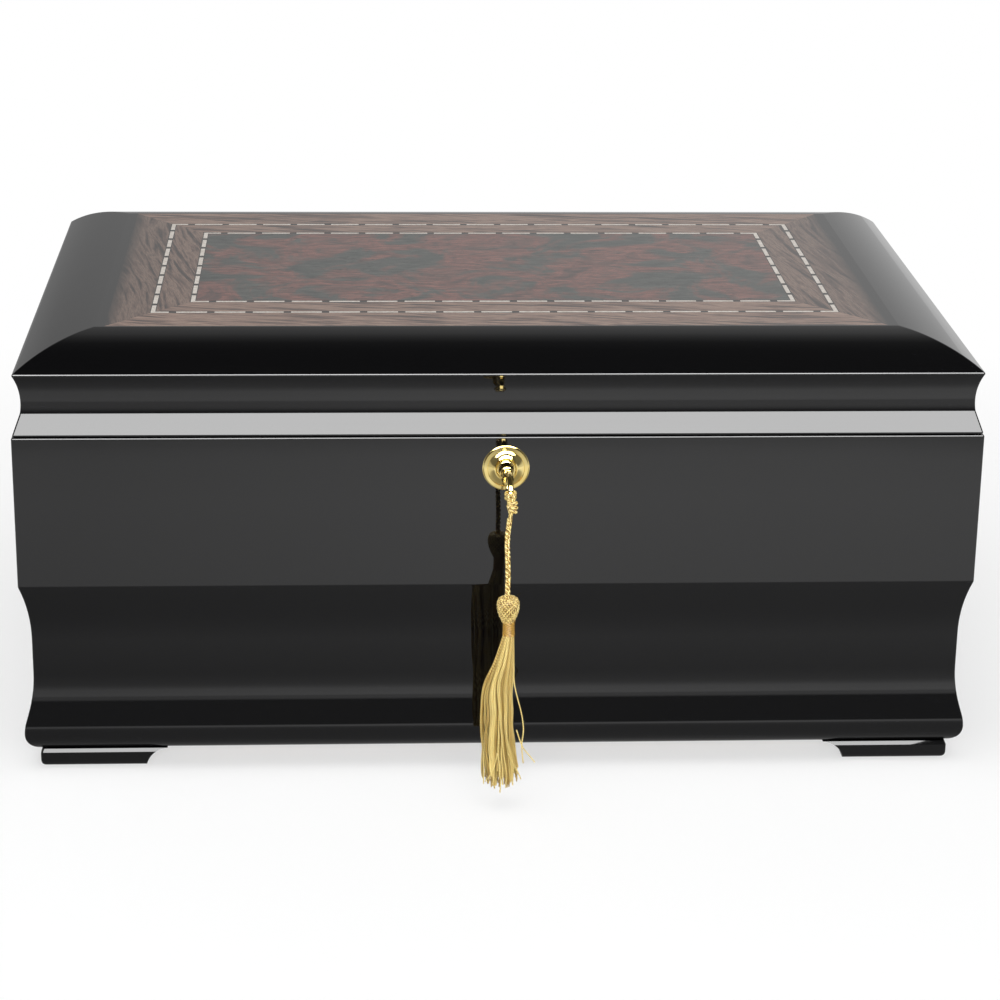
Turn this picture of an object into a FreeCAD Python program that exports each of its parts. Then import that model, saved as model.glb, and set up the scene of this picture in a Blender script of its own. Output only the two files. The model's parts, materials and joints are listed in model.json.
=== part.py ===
import FreeCAD, Part
import math
import os

from FreeCAD import Vector

# Desktop humidor, in millimetres. +Z is up and the front faces -Y.
# The origin is the middle of the footprint, on the surface that the feet stand on.
# Insets are measured inwards from the outline of the lid's sharp edge.

# Outline and heights
HALF_W = 230.0
HALF_D = 151.0
PAD_T = 0.8
CASE_BOTTOM = 10.0
RIM_Z = 172.0
LID_GAP = 0.4
LID_Z = RIM_Z + LID_GAP
LID_EDGE_Z = 202.4
LID_TOP_Z = 216.0
FIT_GAP = 0.2

# Case walls: bulged foot moulding, hollow waist, straight upper panel
WALL_INSET = 19.0
OVERHANG = 1.2
FACE_Y = -(HALF_D + OVERHANG)
FOOT_LIP_R = 10.0
BULGE_R = 20.6
BULGE_RISE = 5.8
FLARE_TOP = (0.88, 30.1)
WAIST_INSET = 3.75
WAIST_LOW_Z = 50.0
WAIST_LOW_R = 70.5
WAIST_HIGH_Z = 67.7
WAIST_HIGH_R = 86.7
PANEL_FOOT_Z = 97.0
RIM_ROUND = 0.9

# Base panel, set in a rebate of the walls
BASE_INSET = 15.0
BASE_T = 8.0

# Bracket feet, set in a little further at the sides than at the front and back
FOOT_INSET = 5.6
FOOT_FRONT_INSET = 3.6
FOOT_LENGTH = 62.0
FOOT_WIDTH = 34.0
FOOT_ROUND = 3.6
FOOT_CHAMFER = (0.85, 2.0)
FOOT_SCALLOP_R = 10.4
PAD_R = 11.0
FOOT_SCREW_ALONG = 42.0

# Lid rails: flare, cove, sharp edge and crown
LID_INSET = 18.2
LID_BOTTOM_INSET = -0.9
LID_FLARE_TOP = (3.05, 183.0)
LID_COVE_R = 32.0
CROWN_R = 65.7
CROWN_INSET = 36.0
CEILING_TOP = 203.0
EDGE_ROUND = 0.9
MITRE_OUT = 6.0
MITRE_DEEP = 60.0

# Inlay in the lid's flat top
INLAY_T = 1.0
STRING_W = 3.0
BORDER_HALF = (189.0, 114.0)
OUTER_STRING_HALF = (169.1, 90.8)
INNER_STRING_HALF = (150.7, 71.2)

# Cedar lining
LINER_T = 5.0
LIP_H = 6.0
LIP_ROUND = 1.5
LID_LINER_T = 4.0
LID_LINER_GAP = 0.8
CEILING_T = 5.0

# Tray, its runners and the dividers
TRAY_HALF = (203.5, 124.5)
TRAY_Z = 105.0
TRAY_H = 45.0
TRAY_SIDE_T = 7.0
TRAY_FLOOR_T = 4.0
TRAY_FLOOR_RISE = 4.0
TRAY_GROOVE = 3.0
RUNNER_W = 8.0
RUNNER_H = 12.0
GRIP_LENGTH = 70.0
GRIP_H = 18.0
GRIP_RISE = 27.9
VENT_LENGTH = 84.0
VENT_W = 9.0
VENT_PITCH = 40.0
VENTS_PER_ROW = 9
VENT_ROW_Y = 55.0
DIVIDER_PLAY = 1.0
TRAY_DIVIDER_T = 5.0
TRAY_DIVIDER_DROP = 3.0
TRAY_DIVIDER_NOTCH_R = 12.0
CASE_DIVIDER_T = 6.0
CASE_DIVIDER_H = 62.0
CASE_DIVIDER_NOTCH_R = 14.0

# Butt hinges with a stop heel, on the back wall
HINGE_X = 140.0
HINGE_LENGTH = 50.0
LEAF_T = 2.0
LEAF_FRONT_Y = 138.0
FLANGE_T = 1.2
FLANGE_H = 12.0
AXIS_Y = HALF_D + OVERHANG + 2.0
AXIS_Z = (RIM_Z + LID_Z) / 2
KNUCKLE_R = 3.0
KNUCKLE_COUNT = 5
KNUCKLE_GAP = 0.1
KNUCKLE_ROOM = 0.3
BARREL_ROOM = 0.5
WEB_REACH = 8.0
PIN_R = 1.3
PIN_HEAD_R = 2.1
PIN_HEAD_T = 0.7
RUNNING_FIT = 0.05
LID_OPEN = 95.0
STOP_REACH = 6.0
STOP_GAP = 0.05
STOP_BACK = 0.4
LID_LEAF_BACK = HALF_D + 0.9
HINGE_SCREW_Y = 144.5
HINGE_SCREW_X = (-18.0, 0.0, 18.0)

# Box lock in the front wall
LOCK_X = 2.0
KEY_Z = 156.6
LOCK_HALF_W = 24.0
LOCK_BOTTOM = 142.0
LOCK_FRONT_Y = -146.0
LOCK_BACK_Y = -137.6
LOCK_SHEET = 1.2
SELVEDGE_T = 1.5
SELVEDGE_HALF_W = 32.0
SELVEDGE_Y = (-147.0, -136.6)
KEYHOLE_R = 3.6
WALL_BORE_R = 4.7
HUB_SLEEVE_R = 3.8
HUB_FLANGE_R = 5.7
HUB_FLANGE_T = 1.4
HUB_LIP = 0.5
CAM_R = 4.6
CAM_PIN_R = 0.7
CAM_PIN_SHORT = 0.3
CAM_PIN_ROOM = 0.25
KEYWAY_ROOM = 0.1
KEY_TURN = 90.0
BOLT_Y = (-142.9, -140.7)
BOLT_BAR_Z = (160.8, 163.6)
FINGER_Z = (165.8, 168.0)
FINGER_LENGTH = 6.3
RISER_W = 3.0
RISER_X = (-20.0, 4.0)
FORK_WALL = 1.3
FORK_RISE = 2.7
FORK_SLOT_Z = (2.0, 5.7)
GUIDE_W = 3.0
GUIDE_X = (-12.0, 8.0)
POST_LENGTH = 9.0
STAPLE_W = 2.0
STAPLE_GAP = 0.5
STAPLE_ROOM = 0.7
STAPLE_RIM = 1.0
STAPLE_EYE_ROOM = 0.5
STAPLE_Y = (-144.4, -139.2)
STAPLE_BOTTOM = 164.0
STRIKE_HALF_W = 23.0
JOIN = 0.1

# Escutcheon
ROSE_R = 11.2
ROSE_COLLAR_R = 4.6
ROSE_COLLAR_T = 3.0
ROSE_RIM = 2.5
ROSE_DOME_R = 5.6
ROSE_DOME_T = 2.5
ROSE_LIP_R = 4.9
ROSE_T = 2.9

# Key: tubular shank, collar, oval bow that stands upright
SHANK_R = 2.3
SHANK_BORE_R = 1.1
POST_R = 0.9
KEY_TIP_Y = -140.0
BIT_R = 3.1
BIT_T = 1.4
BOW_CENTRE = 30.0
BOW_HALF = (12.0, 8.0)
EYE_HALF = (7.2, 4.2)
BOW_T = 2.6
BOW_ROUND = 0.9
KEY_BORE_DEPTH = 12.0
BIT_PLAY = 0.4
BIT_REACH = 1.4
BIT_ROOT = 1.5
# Turned beads of the shank: radius, distance in front of the box, and radius of the edge
KEY_COLLAR = [(0, 8.0, 0), (2.6, 8.0, 0), (3.5, 9.1, 1.1), (2.6, 10.2, 1.1), (0, 10.2, 0)]
KEY_BALL = [(0, 13.0, 0), (2.3, 13.0, 0), (3.1, 15.0, 2.6), (1.3, 19.5, 6.0), (0, 19.5, 0)]

# Tassel, hung in front of the key's nose
TASSEL_OUT = 44.0
TASSEL_Y = FACE_Y - TASSEL_OUT
CORD_D = 2.4
CORD_TOP_Z = 146.5
HEAD_TOP_Z = 107.5
HEAD_BOTTOM_Z = 95.9
COLLAR_BOTTOM_Z = 88.8
COLLAR_R = 2.8
COLLAR_X = -0.2
HEAD_R = 5.1
HEAD_X = -0.6
HEAD_WIDEST = 3.4
DIMPLE = (1.4, 0.7, 0.9)
HITCH_HALF_X = 2.9
HITCH_HALF_Z = 1.7
HITCH_FRONT = 1.6
HITCH_BACK = 1.7
HITCH_ROUND = 1.9
STRAND_R = 0.7
STRAND_X = 0.8
STRAND_OUT = 0.4
STRAND_Z = (151.0, 157.4)
# Knot turned about the cord: radius, height and radius of the edge
KNOT = [(0, 148.1, 0), (1.9, 148.1, 0), (2.8, 150.3, -3.0), (1.7, 152.3, -3.0), (0, 152.3, 0)]

# Centre line of the tassel cord: offset from the keyhole in X, offset in Y, height
CORD_ROUTE = [
    (-0.4, 0.0, CORD_TOP_Z),
    (-1.6, 0.3, 138.0),
    (-1.2, 0.1, 128.0),
    (-0.8, -0.2, 118.0),
    (-1.1, 0.0, 107.5),
    (-0.4, 0.2, 96.5),
    (0.1, 0.1, 86.0),
    (-0.9, -0.1, 75.0),
    (-2.6, 0.0, 64.0),
]
CORD_BEND = 0.45

# Ovals that the skirt passes through: offset in X, height, half width and half depth
SKIRT_OVALS = [
    (-0.2, COLLAR_BOTTOM_Z, 2.8, 2.8),
    (-2.2, 75.6, 5.4, 4.0),
    (-4.8, 61.9, 7.9, 5.2),
    (-4.6, 49.0, 8.9, 5.8),
    (-4.2, 37.0, 9.7, 6.2),
    (-3.2, 24.0, 10.8, 6.6),
    (-2.8, 12.0, 11.6, 6.8),
]

# Humidifier and hygrometer under the lid
HUMID_X = -80.0
HUMID_HALF = (75.0, 33.0)
HUMID_H = 16.0
HUMID_WALL = 1.8
HUMID_ROOF = 3.5
HUMID_CORNER = 6.0
HUMID_CORNER_LEAST = 2.0
HUMID_GAP = 0.05
GRILLE_T = 2.0
GRILLE_MARGIN = 8.0
FOAM_GAP = 0.3
DISC_R = 7.0
DISC_T = 1.0
MAGNET_R = 6.0
MAGNET_T = 2.0
MAGNET_X = 50.0
LOUVRE_COUNT = 11
LOUVRE_LENGTH = 46.0
LOUVRE_W = 5.0
HYGRO_X = 105.0
HYGRO_R = 21.0
BEZEL_R = 26.0
BEZEL_DROP = 2.4
BEZEL_ROUND = 1.6
CUP_WALL = 1.0
HYGRO_TOP_Z = 209.0
GLASS_T = 1.0
GLASS_RISE = 0.6
DIAL_T = 0.8
DIAL_RISE = 5.0
NEEDLE_UNDER_DIAL = 1.4
NEEDLE_T = 0.4
# Outline of the needle: offset in X and in Y from its arbor
NEEDLE = [(-0.9, -6.0), (0.9, -6.0), (0.2, 15.5), (-0.2, 15.5)]
NEEDLE_HUB = (1.6, 0.9, 0.3)
ARBOR_R = 0.45
ARBOR_LENGTH = 2.2
ARBOR_HOLE_R = 0.5

# Countersunk screws: radius, head radius and length
FOOT_SCREW = (1.75, 3.5, 13.5)
BRASS_SCREW = (1.3, 2.6, 12.0)
SCREW_SLOT = (0.8, 0.7)
SCREW_RECESS = 1.0
SCREW_MARGIN = 3.5

# Worked out from the dimensions above
UP = Vector(0, 0, 1)
DOWN = Vector(0, 0, -1)
FLOOR_Z = CASE_BOTTOM + BASE_T + LINER_T
LIP_Z = RIM_Z + LIP_H
LID_LINER_Z = LIP_Z + LID_LINER_GAP
CEILING_Z = CEILING_TOP - CEILING_T
INSIDE_X = HALF_W - WALL_INSET - LINER_T
INSIDE_Y = HALF_D - WALL_INSET - LINER_T
HUMID_TOP = CEILING_Z - DISC_T - HUMID_GAP
HUMID_LOW = HUMID_TOP - HUMID_H
BOLT_TRAVEL = 2 * CAM_R * math.sin(math.radians(KEY_TURN / 2))


def box(x_range, y_range, z_range):
    """Box between three pairs of coordinates."""
    size = [high - low for low, high in (x_range, y_range, z_range)]
    return Part.makeBox(size[0], size[1], size[2], Vector(x_range[0], y_range[0], z_range[0]))


def plate(half_x, half_y, z_range):
    """Box centred on the Z axis."""
    return box((-half_x, half_x), (-half_y, half_y), z_range)


def curve(start, end, radius):
    """Edge in a plane of constant Y. A positive radius bulges to the left of travel."""
    if radius == 0:
        return Part.LineSegment(start, end).toShape()
    chord = end - start
    rise = abs(radius) - math.sqrt(radius ** 2 - (chord.Length / 2) ** 2)
    left = Vector(-chord.z, 0, chord.x).normalize()
    middle = (start + end) * 0.5 + left * math.copysign(rise, radius)
    return Part.Arc(start, middle, end).toShape()


def section_face(path):
    """Face in the XZ plane. Each item is x, z and the radius of the edge that leads to it."""
    corners = [Vector(x, 0, z) for x, z, _ in path]
    edges = [curve(corners[i - 1], corners[i], path[i][2]) for i in range(len(path))]
    return Part.Face(Part.Wire(edges))


def turned(path, base, axis):
    """Solid turned from a section of radius and height, with its height along axis."""
    solid = section_face(path).revolve(Vector(0, 0, 0), Vector(0, 0, 1), 360)
    solid.Placement = FreeCAD.Placement(base, FreeCAD.Rotation(Vector(0, 0, 1), axis))
    return solid


def mirrored(shape, normal):
    return shape.mirror(Vector(0, 0, 0), normal)


def slot(centre, length, width, axis, depth):
    """Round-ended bar along X, with its thickness along axis and centred on centre."""
    reach = length / 2 - width / 2
    start = centre - axis * (depth / 2)
    ends = [Part.makeCylinder(width / 2, depth, start + Vector(s * reach, 0, 0), axis) for s in (-1, 1)]
    if abs(axis.z) > 0.5:
        middle = box((centre.x - reach, centre.x + reach), (centre.y - width / 2, centre.y + width / 2),
                     (centre.z - depth / 2, centre.z + depth / 2))
    else:
        middle = box((centre.x - reach, centre.x + reach), (centre.y - depth / 2, centre.y + depth / 2),
                     (centre.z - width / 2, centre.z + width / 2))
    return middle.fuse(ends).removeSplitter()


# Wood screws

def screw_body(head, direction, radius, head_radius, length):
    """Countersunk screw without its slot: the space that it fills."""
    path = [
        (0, 0, 0),
        (head_radius, 0, 0),
        (radius, head_radius - radius, 0),
        (radius, length - 2 * radius, 0),
        (0, length, 0),
    ]
    return turned(path, head, direction)


def screw(head, direction, radius, head_radius, length):
    """Countersunk screw with a slotted head."""
    body = screw_body(head, direction, radius, head_radius, length)
    width, depth = SCREW_SLOT
    cut = box((-head_radius, head_radius), (-width / 2, width / 2), (-1, depth))
    cut.Placement = FreeCAD.Placement(head, FreeCAD.Rotation(Vector(0, 0, 1), direction))
    return body.cut(cut)


def foot_screw_heads():
    """Two screws in each foot, driven up from below."""
    near = FOOT_INSET + FOOT_WIDTH / 2
    far = FOOT_INSET + FOOT_SCREW_ALONG
    return [Vector(sx * (HALF_W - a), sy * (HALF_D - b), PAD_T + SCREW_RECESS)
            for sx in (-1, 1) for sy in (-1, 1) for a, b in ((near, far), (far, near))]


def hinge_screw_heads(z):
    return [Vector(side * HINGE_X + x, HINGE_SCREW_Y, z) for side in (-1, 1) for x in HINGE_SCREW_X]


def lock_screw_heads(reach, z):
    """Two screws, reach to each side of the keyhole, in the middle of the selvedge's width."""
    return [Vector(LOCK_X + side * reach, sum(SELVEDGE_Y) / 2, z) for side in (-1, 1)]


def case_brass_heads():
    return hinge_screw_heads(RIM_Z) + lock_screw_heads(SELVEDGE_HALF_W - SCREW_MARGIN, RIM_Z)


def lid_brass_heads():
    return hinge_screw_heads(LID_Z) + lock_screw_heads(STRIKE_HALF_W - SCREW_MARGIN, LID_Z)


def foot_screw_space():
    return [screw_body(head, UP, *FOOT_SCREW) for head in foot_screw_heads()]


def case_screw_space():
    return [screw_body(head, DOWN, *BRASS_SCREW) for head in case_brass_heads()]


def lid_screw_space():
    return [screw_body(head, UP, *BRASS_SCREW) for head in lid_brass_heads()]


def screws():
    in_feet = [screw(head, UP, *FOOT_SCREW) for head in foot_screw_heads()]
    in_case = [screw(head, DOWN, *BRASS_SCREW) for head in case_brass_heads()]
    in_lid = [screw(head, UP, *BRASS_SCREW) for head in lid_brass_heads()]
    return {
        "foot_screws": Part.makeCompound(in_feet),
        "case_brass_screws": Part.makeCompound(in_case),
        "lid_brass_screws": Part.makeCompound(in_lid),
    }


# Mouldings that run round the four sides

SIDES = {
    "left": (0, Vector(-HALF_W, 0, 0)),
    "right": (180, Vector(HALF_W, 0, 0)),
    "front": (90, Vector(0, -HALF_D, 0)),
    "back": (-90, Vector(0, HALF_D, 0)),
}


def mitre_wedge(side):
    """Prism between the mitre planes at the two ends of one side."""
    out = -MITRE_OUT
    deep = MITRE_DEEP
    if side in ("front", "back"):
        s = -1 if side == "front" else 1
        plan = [(-HALF_W + out, s * (HALF_D - out)), (HALF_W - out, s * (HALF_D - out)),
                (HALF_W - deep, s * (HALF_D - deep)), (-HALF_W + deep, s * (HALF_D - deep))]
    else:
        s = -1 if side == "left" else 1
        plan = [(s * (HALF_W - out), -HALF_D + out), (s * (HALF_W - out), HALF_D - out),
                (s * (HALF_W - deep), HALF_D - deep), (s * (HALF_W - deep), -HALF_D + deep)]
    corners = [Vector(x, y, 0) for x, y in plan]
    return Part.Face(Part.makePolygon(corners + corners[:1])).extrude(Vector(0, 0, LID_TOP_Z + 10))


def moulding(path, side, rounds):
    """Mitred length of a section of inset and height. rounds lists corners and their radii."""
    reach = HALF_W + 10
    bar = section_face(path).extrude(Vector(0, 2 * reach, 0))
    bar.translate(Vector(0, -reach, 0))
    for inset, z, radius in rounds:
        spot = Vector(inset, 0, z)
        edges = [e for e in bar.Edges if e.Length > reach and
                 (Vector(e.Vertexes[0].X, 0, e.Vertexes[0].Z) - spot).Length < 0.01]
        bar = bar.makeFillet(radius, edges)
    angle, offset = SIDES[side]
    bar.rotate(Vector(0, 0, 0), Vector(0, 0, 1), angle)
    bar.translate(offset)
    return bar.common(mitre_wedge(side))


def case_section():
    bulge_inset = BULGE_R - OVERHANG - math.sqrt(BULGE_R ** 2 - BULGE_RISE ** 2)
    bulge_z = CASE_BOTTOM + FOOT_LIP_R
    return [
        (BASE_INSET, CASE_BOTTOM, 0),
        (FOOT_LIP_R - OVERHANG, CASE_BOTTOM, 0),
        (-OVERHANG, bulge_z, FOOT_LIP_R),
        (bulge_inset, bulge_z + BULGE_RISE, BULGE_R),
        (FLARE_TOP[0], FLARE_TOP[1], 0),
        (WAIST_INSET, WAIST_LOW_Z, -WAIST_LOW_R),
        (WAIST_INSET, WAIST_HIGH_Z, 0),
        (-OVERHANG, PANEL_FOOT_Z, -WAIST_HIGH_R),
        (-OVERHANG, RIM_Z, 0),
        (WALL_INSET, RIM_Z, 0),
        (WALL_INSET, CASE_BOTTOM + BASE_T, 0),
        (BASE_INSET, CASE_BOTTOM + BASE_T, 0),
    ]


def lid_section():
    return [
        (CROWN_INSET, CEILING_TOP, 0),
        (LID_INSET, CEILING_TOP, 0),
        (LID_INSET, LID_Z, 0),
        (LID_BOTTOM_INSET, LID_Z, 0),
        (LID_FLARE_TOP[0], LID_FLARE_TOP[1], 0),
        (0, LID_EDGE_Z, -LID_COVE_R),
        (CROWN_INSET, LID_TOP_Z, CROWN_R),
    ]


def case_walls():
    rounds = [(-OVERHANG, RIM_Z, RIM_ROUND)]
    walls = {side: moulding(case_section(), side, rounds) for side in SIDES}
    walls["front"] = walls["front"].cut([lock_pocket()] + case_screw_space())
    walls["back"] = walls["back"].cut(hinge_seats(case_leaf_seat()) + case_screw_space())
    return {f"case_{side}_wall": wall for side, wall in walls.items()}


def lid_rails():
    rounds = [(LID_BOTTOM_INSET, LID_Z, RIM_ROUND), (0, LID_EDGE_Z, EDGE_ROUND)]
    rails = {side: moulding(lid_section(), side, rounds) for side in SIDES}
    rails["front"] = rails["front"].cut([strike_recess()] + lid_screw_space())
    rails["back"] = rails["back"].cut(hinge_seats(lid_leaf_seat()) + lid_screw_space())
    return {f"lid_{side}_rail": rail for side, rail in rails.items()}


def base_panel():
    panel = plate(HALF_W - BASE_INSET, HALF_D - BASE_INSET, (CASE_BOTTOM, CASE_BOTTOM + BASE_T))
    return panel.cut(foot_screw_space())


# Feet

def front_left_foot():
    """L-shaped bracket with a scalloped end on each leg."""
    x = -HALF_W + FOOT_INSET
    y = -HALF_D + FOOT_FRONT_INSET
    z_range = (PAD_T, CASE_BOTTOM)
    foot = box((x, x + FOOT_LENGTH), (y, y + FOOT_WIDTH), z_range)
    foot = foot.fuse(box((x, x + FOOT_WIDTH), (y, y + FOOT_LENGTH), z_range)).removeSplitter()
    outer = [e for e in foot.Edges if e.BoundBox.ZMax < PAD_T + 0.01 and
             (e.BoundBox.XMax < x + 0.01 or e.BoundBox.YMax < y + 0.01)]
    foot = foot.makeFillet(FOOT_ROUND, outer)
    centre_z = CASE_BOTTOM - FOOT_SCALLOP_R
    reach = FOOT_LENGTH + 20
    x_end = Vector(x + FOOT_LENGTH, y - 5, centre_z)
    y_end = Vector(x - 5, y + FOOT_LENGTH, centre_z)
    along_y = Part.makeCylinder(FOOT_SCALLOP_R, reach, x_end, Vector(0, 1, 0))
    along_x = Part.makeCylinder(FOOT_SCALLOP_R, reach, y_end, Vector(1, 0, 0))
    return foot.cut([along_y, along_x] + foot_chamfers(x, y))


def foot_chamfers(x, y):
    """Wedges cut from the outer top edges, along X and along Y."""
    inset, height = FOOT_CHAMFER
    low = CASE_BOTTOM - height
    corner = [Vector(x, y, low), Vector(x, y, CASE_BOTTOM)]
    along_x = corner + [Vector(x, y + inset, CASE_BOTTOM), corner[0]]
    along_y = corner + [Vector(x + inset, y, CASE_BOTTOM), corner[0]]
    return [Part.Face(Part.makePolygon(along_x)).extrude(Vector(FOOT_LENGTH, 0, 0)),
            Part.Face(Part.makePolygon(along_y)).extrude(Vector(0, FOOT_LENGTH, 0))]


def feet():
    left = front_left_foot()
    right = mirrored(left, Vector(1, 0, 0))
    shapes = {
        "foot_front_left": left,
        "foot_front_right": right,
        "foot_back_left": mirrored(left, Vector(0, 1, 0)),
        "foot_back_right": mirrored(right, Vector(0, 1, 0)),
    }
    recess = [Part.makeCylinder(FOOT_SCREW[1], SCREW_RECESS, head, DOWN) for head in foot_screw_heads()]
    return {name: foot.cut(recess + foot_screw_space()) for name, foot in shapes.items()}


def foot_pads():
    """Round felt pad under each foot's corner."""
    middle = FOOT_INSET + FOOT_WIDTH / 2
    return Part.makeCompound([
        Part.makeCylinder(PAD_R, PAD_T, Vector(sx * (HALF_W - middle), sy * (HALF_D - middle), 0))
        for sx in (-1, 1) for sy in (-1, 1)])


# Cedar lining and what rests on it

def case_liners():
    x = HALF_W - WALL_INSET
    y = HALF_D - WALL_INSET
    heights = (FLOOR_Z, LIP_Z)
    shapes = {
        "liner_front": box((-x, x), (-y, -y + LINER_T), heights),
        "liner_back": box((-x, x), (y - LINER_T, y), heights),
        "liner_left": box((-x, -x + LINER_T), (-INSIDE_Y, INSIDE_Y), heights),
        "liner_right": box((x - LINER_T, x), (-INSIDE_Y, INSIDE_Y), heights),
        "liner_floor": plate(x, y, (CASE_BOTTOM + BASE_T, FLOOR_Z)),
    }
    # The lip's outer top corner is rounded so that the lid finds its way over it
    for name, axis, sign in (("liner_front", "y", -1), ("liner_back", "y", 1),
                             ("liner_left", "x", -1), ("liner_right", "x", 1)):
        limit = x if axis == "x" else y
        board = shapes[name]
        edges = [e for e in board.Edges if e.BoundBox.ZMin > LIP_Z - 0.01 and
                 abs((e.CenterOfMass.x if axis == "x" else e.CenterOfMass.y) - sign * limit) < 0.01]
        shapes[name] = board.makeFillet(LIP_ROUND, edges)
    return shapes


def tray_runners():
    left = box((-INSIDE_X, -INSIDE_X + RUNNER_W), (-INSIDE_Y, INSIDE_Y), (TRAY_Z - RUNNER_H, TRAY_Z))
    return Part.makeCompound([left, mirrored(left, Vector(1, 0, 0))])


def tray_floor():
    x = TRAY_HALF[0] - TRAY_SIDE_T + TRAY_GROOVE
    y = TRAY_HALF[1] - TRAY_SIDE_T + TRAY_GROOVE
    low = TRAY_Z + TRAY_FLOOR_RISE
    return plate(x, y, (low, low + TRAY_FLOOR_T))


def tray_vents():
    """Two rows of slots that let moist air through the tray's floor."""
    vents = []
    for row in (-1, 1):
        for column in range(VENTS_PER_ROW):
            along = (column - (VENTS_PER_ROW - 1) / 2) * VENT_PITCH
            centre = Vector(row * VENT_ROW_Y, along, TRAY_Z)
            vent = slot(centre, VENT_LENGTH, VENT_W, UP, 2 * TRAY_H)
            vent.rotate(Vector(0, 0, 0), Vector(0, 0, 1), 90)
            vents.append(vent)
    return vents


def tray_parts():
    x, y = TRAY_HALF
    heights = (TRAY_Z, TRAY_Z + TRAY_H)
    long_side = box((-x, x), (-y, -y + TRAY_SIDE_T), heights).cut(tray_floor())
    end = box((-x, -x + TRAY_SIDE_T), (-y + TRAY_SIDE_T, y - TRAY_SIDE_T), heights).cut(tray_floor())
    grip_at = Vector(0, x - TRAY_SIDE_T / 2, TRAY_Z + GRIP_RISE)
    grip = slot(grip_at, GRIP_LENGTH, GRIP_H, Vector(0, 1, 0), 3 * TRAY_SIDE_T)
    grip.rotate(Vector(0, 0, 0), Vector(0, 0, 1), 90)
    end = end.cut(grip)
    return {
        "tray_long_sides": Part.makeCompound([long_side, mirrored(long_side, Vector(0, 1, 0))]),
        "tray_end_boards": Part.makeCompound([end, mirrored(end, Vector(1, 0, 0))]),
        "tray_floor": tray_floor().cut(tray_vents()),
    }


def divider(thickness, half_length, z_range, notch_r):
    """Upright board across the box, with a finger notch in its top edge."""
    board = box((-thickness / 2, thickness / 2), (-half_length, half_length), z_range)
    start = Vector(-1.5 * thickness, 0, z_range[1])
    notch = Part.makeCylinder(notch_r, 3 * thickness, start, Vector(1, 0, 0))
    return board.cut(notch)


def tray_divider():
    low = TRAY_Z + TRAY_FLOOR_RISE + TRAY_FLOOR_T + FIT_GAP
    z_range = (low, TRAY_Z + TRAY_H - TRAY_DIVIDER_DROP)
    return divider(TRAY_DIVIDER_T, TRAY_HALF[1] - TRAY_SIDE_T - DIVIDER_PLAY, z_range, TRAY_DIVIDER_NOTCH_R)


def case_divider():
    low = FLOOR_Z + FIT_GAP
    z_range = (low, low + CASE_DIVIDER_H)
    return divider(CASE_DIVIDER_T, INSIDE_Y - DIVIDER_PLAY, z_range, CASE_DIVIDER_NOTCH_R)


# Lid panels and inlay

def lid_top_panel():
    half_x = HALF_W - CROWN_INSET
    half_y = HALF_D - CROWN_INSET
    panel = plate(half_x, half_y, (CEILING_TOP, LID_TOP_Z))
    bed = plate(BORDER_HALF[0], BORDER_HALF[1], (LID_TOP_Z - INLAY_T, LID_TOP_Z))
    well = Part.makeCylinder(HYGRO_R, HYGRO_TOP_Z - CEILING_TOP, Vector(HYGRO_X, 0, CEILING_TOP))
    return panel.cut([bed, well])


def frame_strips(outer, inner):
    """Four mitred veneer strips between two rectangles."""
    z = LID_TOP_Z - INLAY_T
    strips = []
    for turn in range(4):
        corners = [(-1, -1), (1, -1), (1, 1), (-1, 1)]
        a = corners[turn]
        b = corners[(turn + 1) % 4]
        plan = [Vector(a[0] * outer[0], a[1] * outer[1], z), Vector(b[0] * outer[0], b[1] * outer[1], z),
                Vector(b[0] * inner[0], b[1] * inner[1], z), Vector(a[0] * inner[0], a[1] * inner[1], z)]
        strips.append(Part.Face(Part.makePolygon(plan + plan[:1])).extrude(Vector(0, 0, INLAY_T)))
    return strips


def shrunk(half, by):
    return (half[0] - by, half[1] - by)


def inlay():
    inner_edge = shrunk(INNER_STRING_HALF, STRING_W)
    z_range = (LID_TOP_Z - INLAY_T, LID_TOP_Z)
    return {
        "burl_panel": plate(inner_edge[0], inner_edge[1], z_range),
        "inner_string": Part.makeCompound(frame_strips(INNER_STRING_HALF, inner_edge)),
        "rosewood_inner_border": Part.makeCompound(
            frame_strips(shrunk(OUTER_STRING_HALF, STRING_W), INNER_STRING_HALF)),
        "outer_string": Part.makeCompound(
            frame_strips(OUTER_STRING_HALF, shrunk(OUTER_STRING_HALF, STRING_W))),
        "rosewood_outer_border": Part.makeCompound(frame_strips(BORDER_HALF, OUTER_STRING_HALF)),
    }


def lid_ceiling():
    board = plate(HALF_W - LID_INSET, HALF_D - LID_INSET, (CEILING_Z, CEILING_TOP))
    return board.cut(Part.makeCylinder(HYGRO_R, CEILING_T, Vector(HYGRO_X, 0, CEILING_Z)))


def lid_liner():
    """Four cedar strips that stand above the lip of the case lining."""
    x = HALF_W - LID_INSET
    y = HALF_D - LID_INSET
    heights = (LID_LINER_Z, CEILING_Z)
    front = box((-x, x), (-y, -y + LID_LINER_T), heights)
    left = box((-x, -x + LID_LINER_T), (-y + LID_LINER_T, y - LID_LINER_T), heights)
    return Part.makeCompound([front, mirrored(front, Vector(0, 1, 0)), left, mirrored(left, Vector(1, 0, 0))])


# Hinges, drawn about X = 0 and moved to their places

def at_hinge(shape, side):
    copy = shape.copy()
    copy.translate(Vector(side * HINGE_X, 0, 0))
    return copy


def hinge_seats(shapes):
    return [at_hinge(shape, side) for shape in shapes for side in (-1, 1)]


def axis_rod(radius, x_low, x_high):
    return Part.makeCylinder(radius, x_high - x_low, Vector(x_low, AXIS_Y, AXIS_Z), Vector(1, 0, 0))


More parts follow.
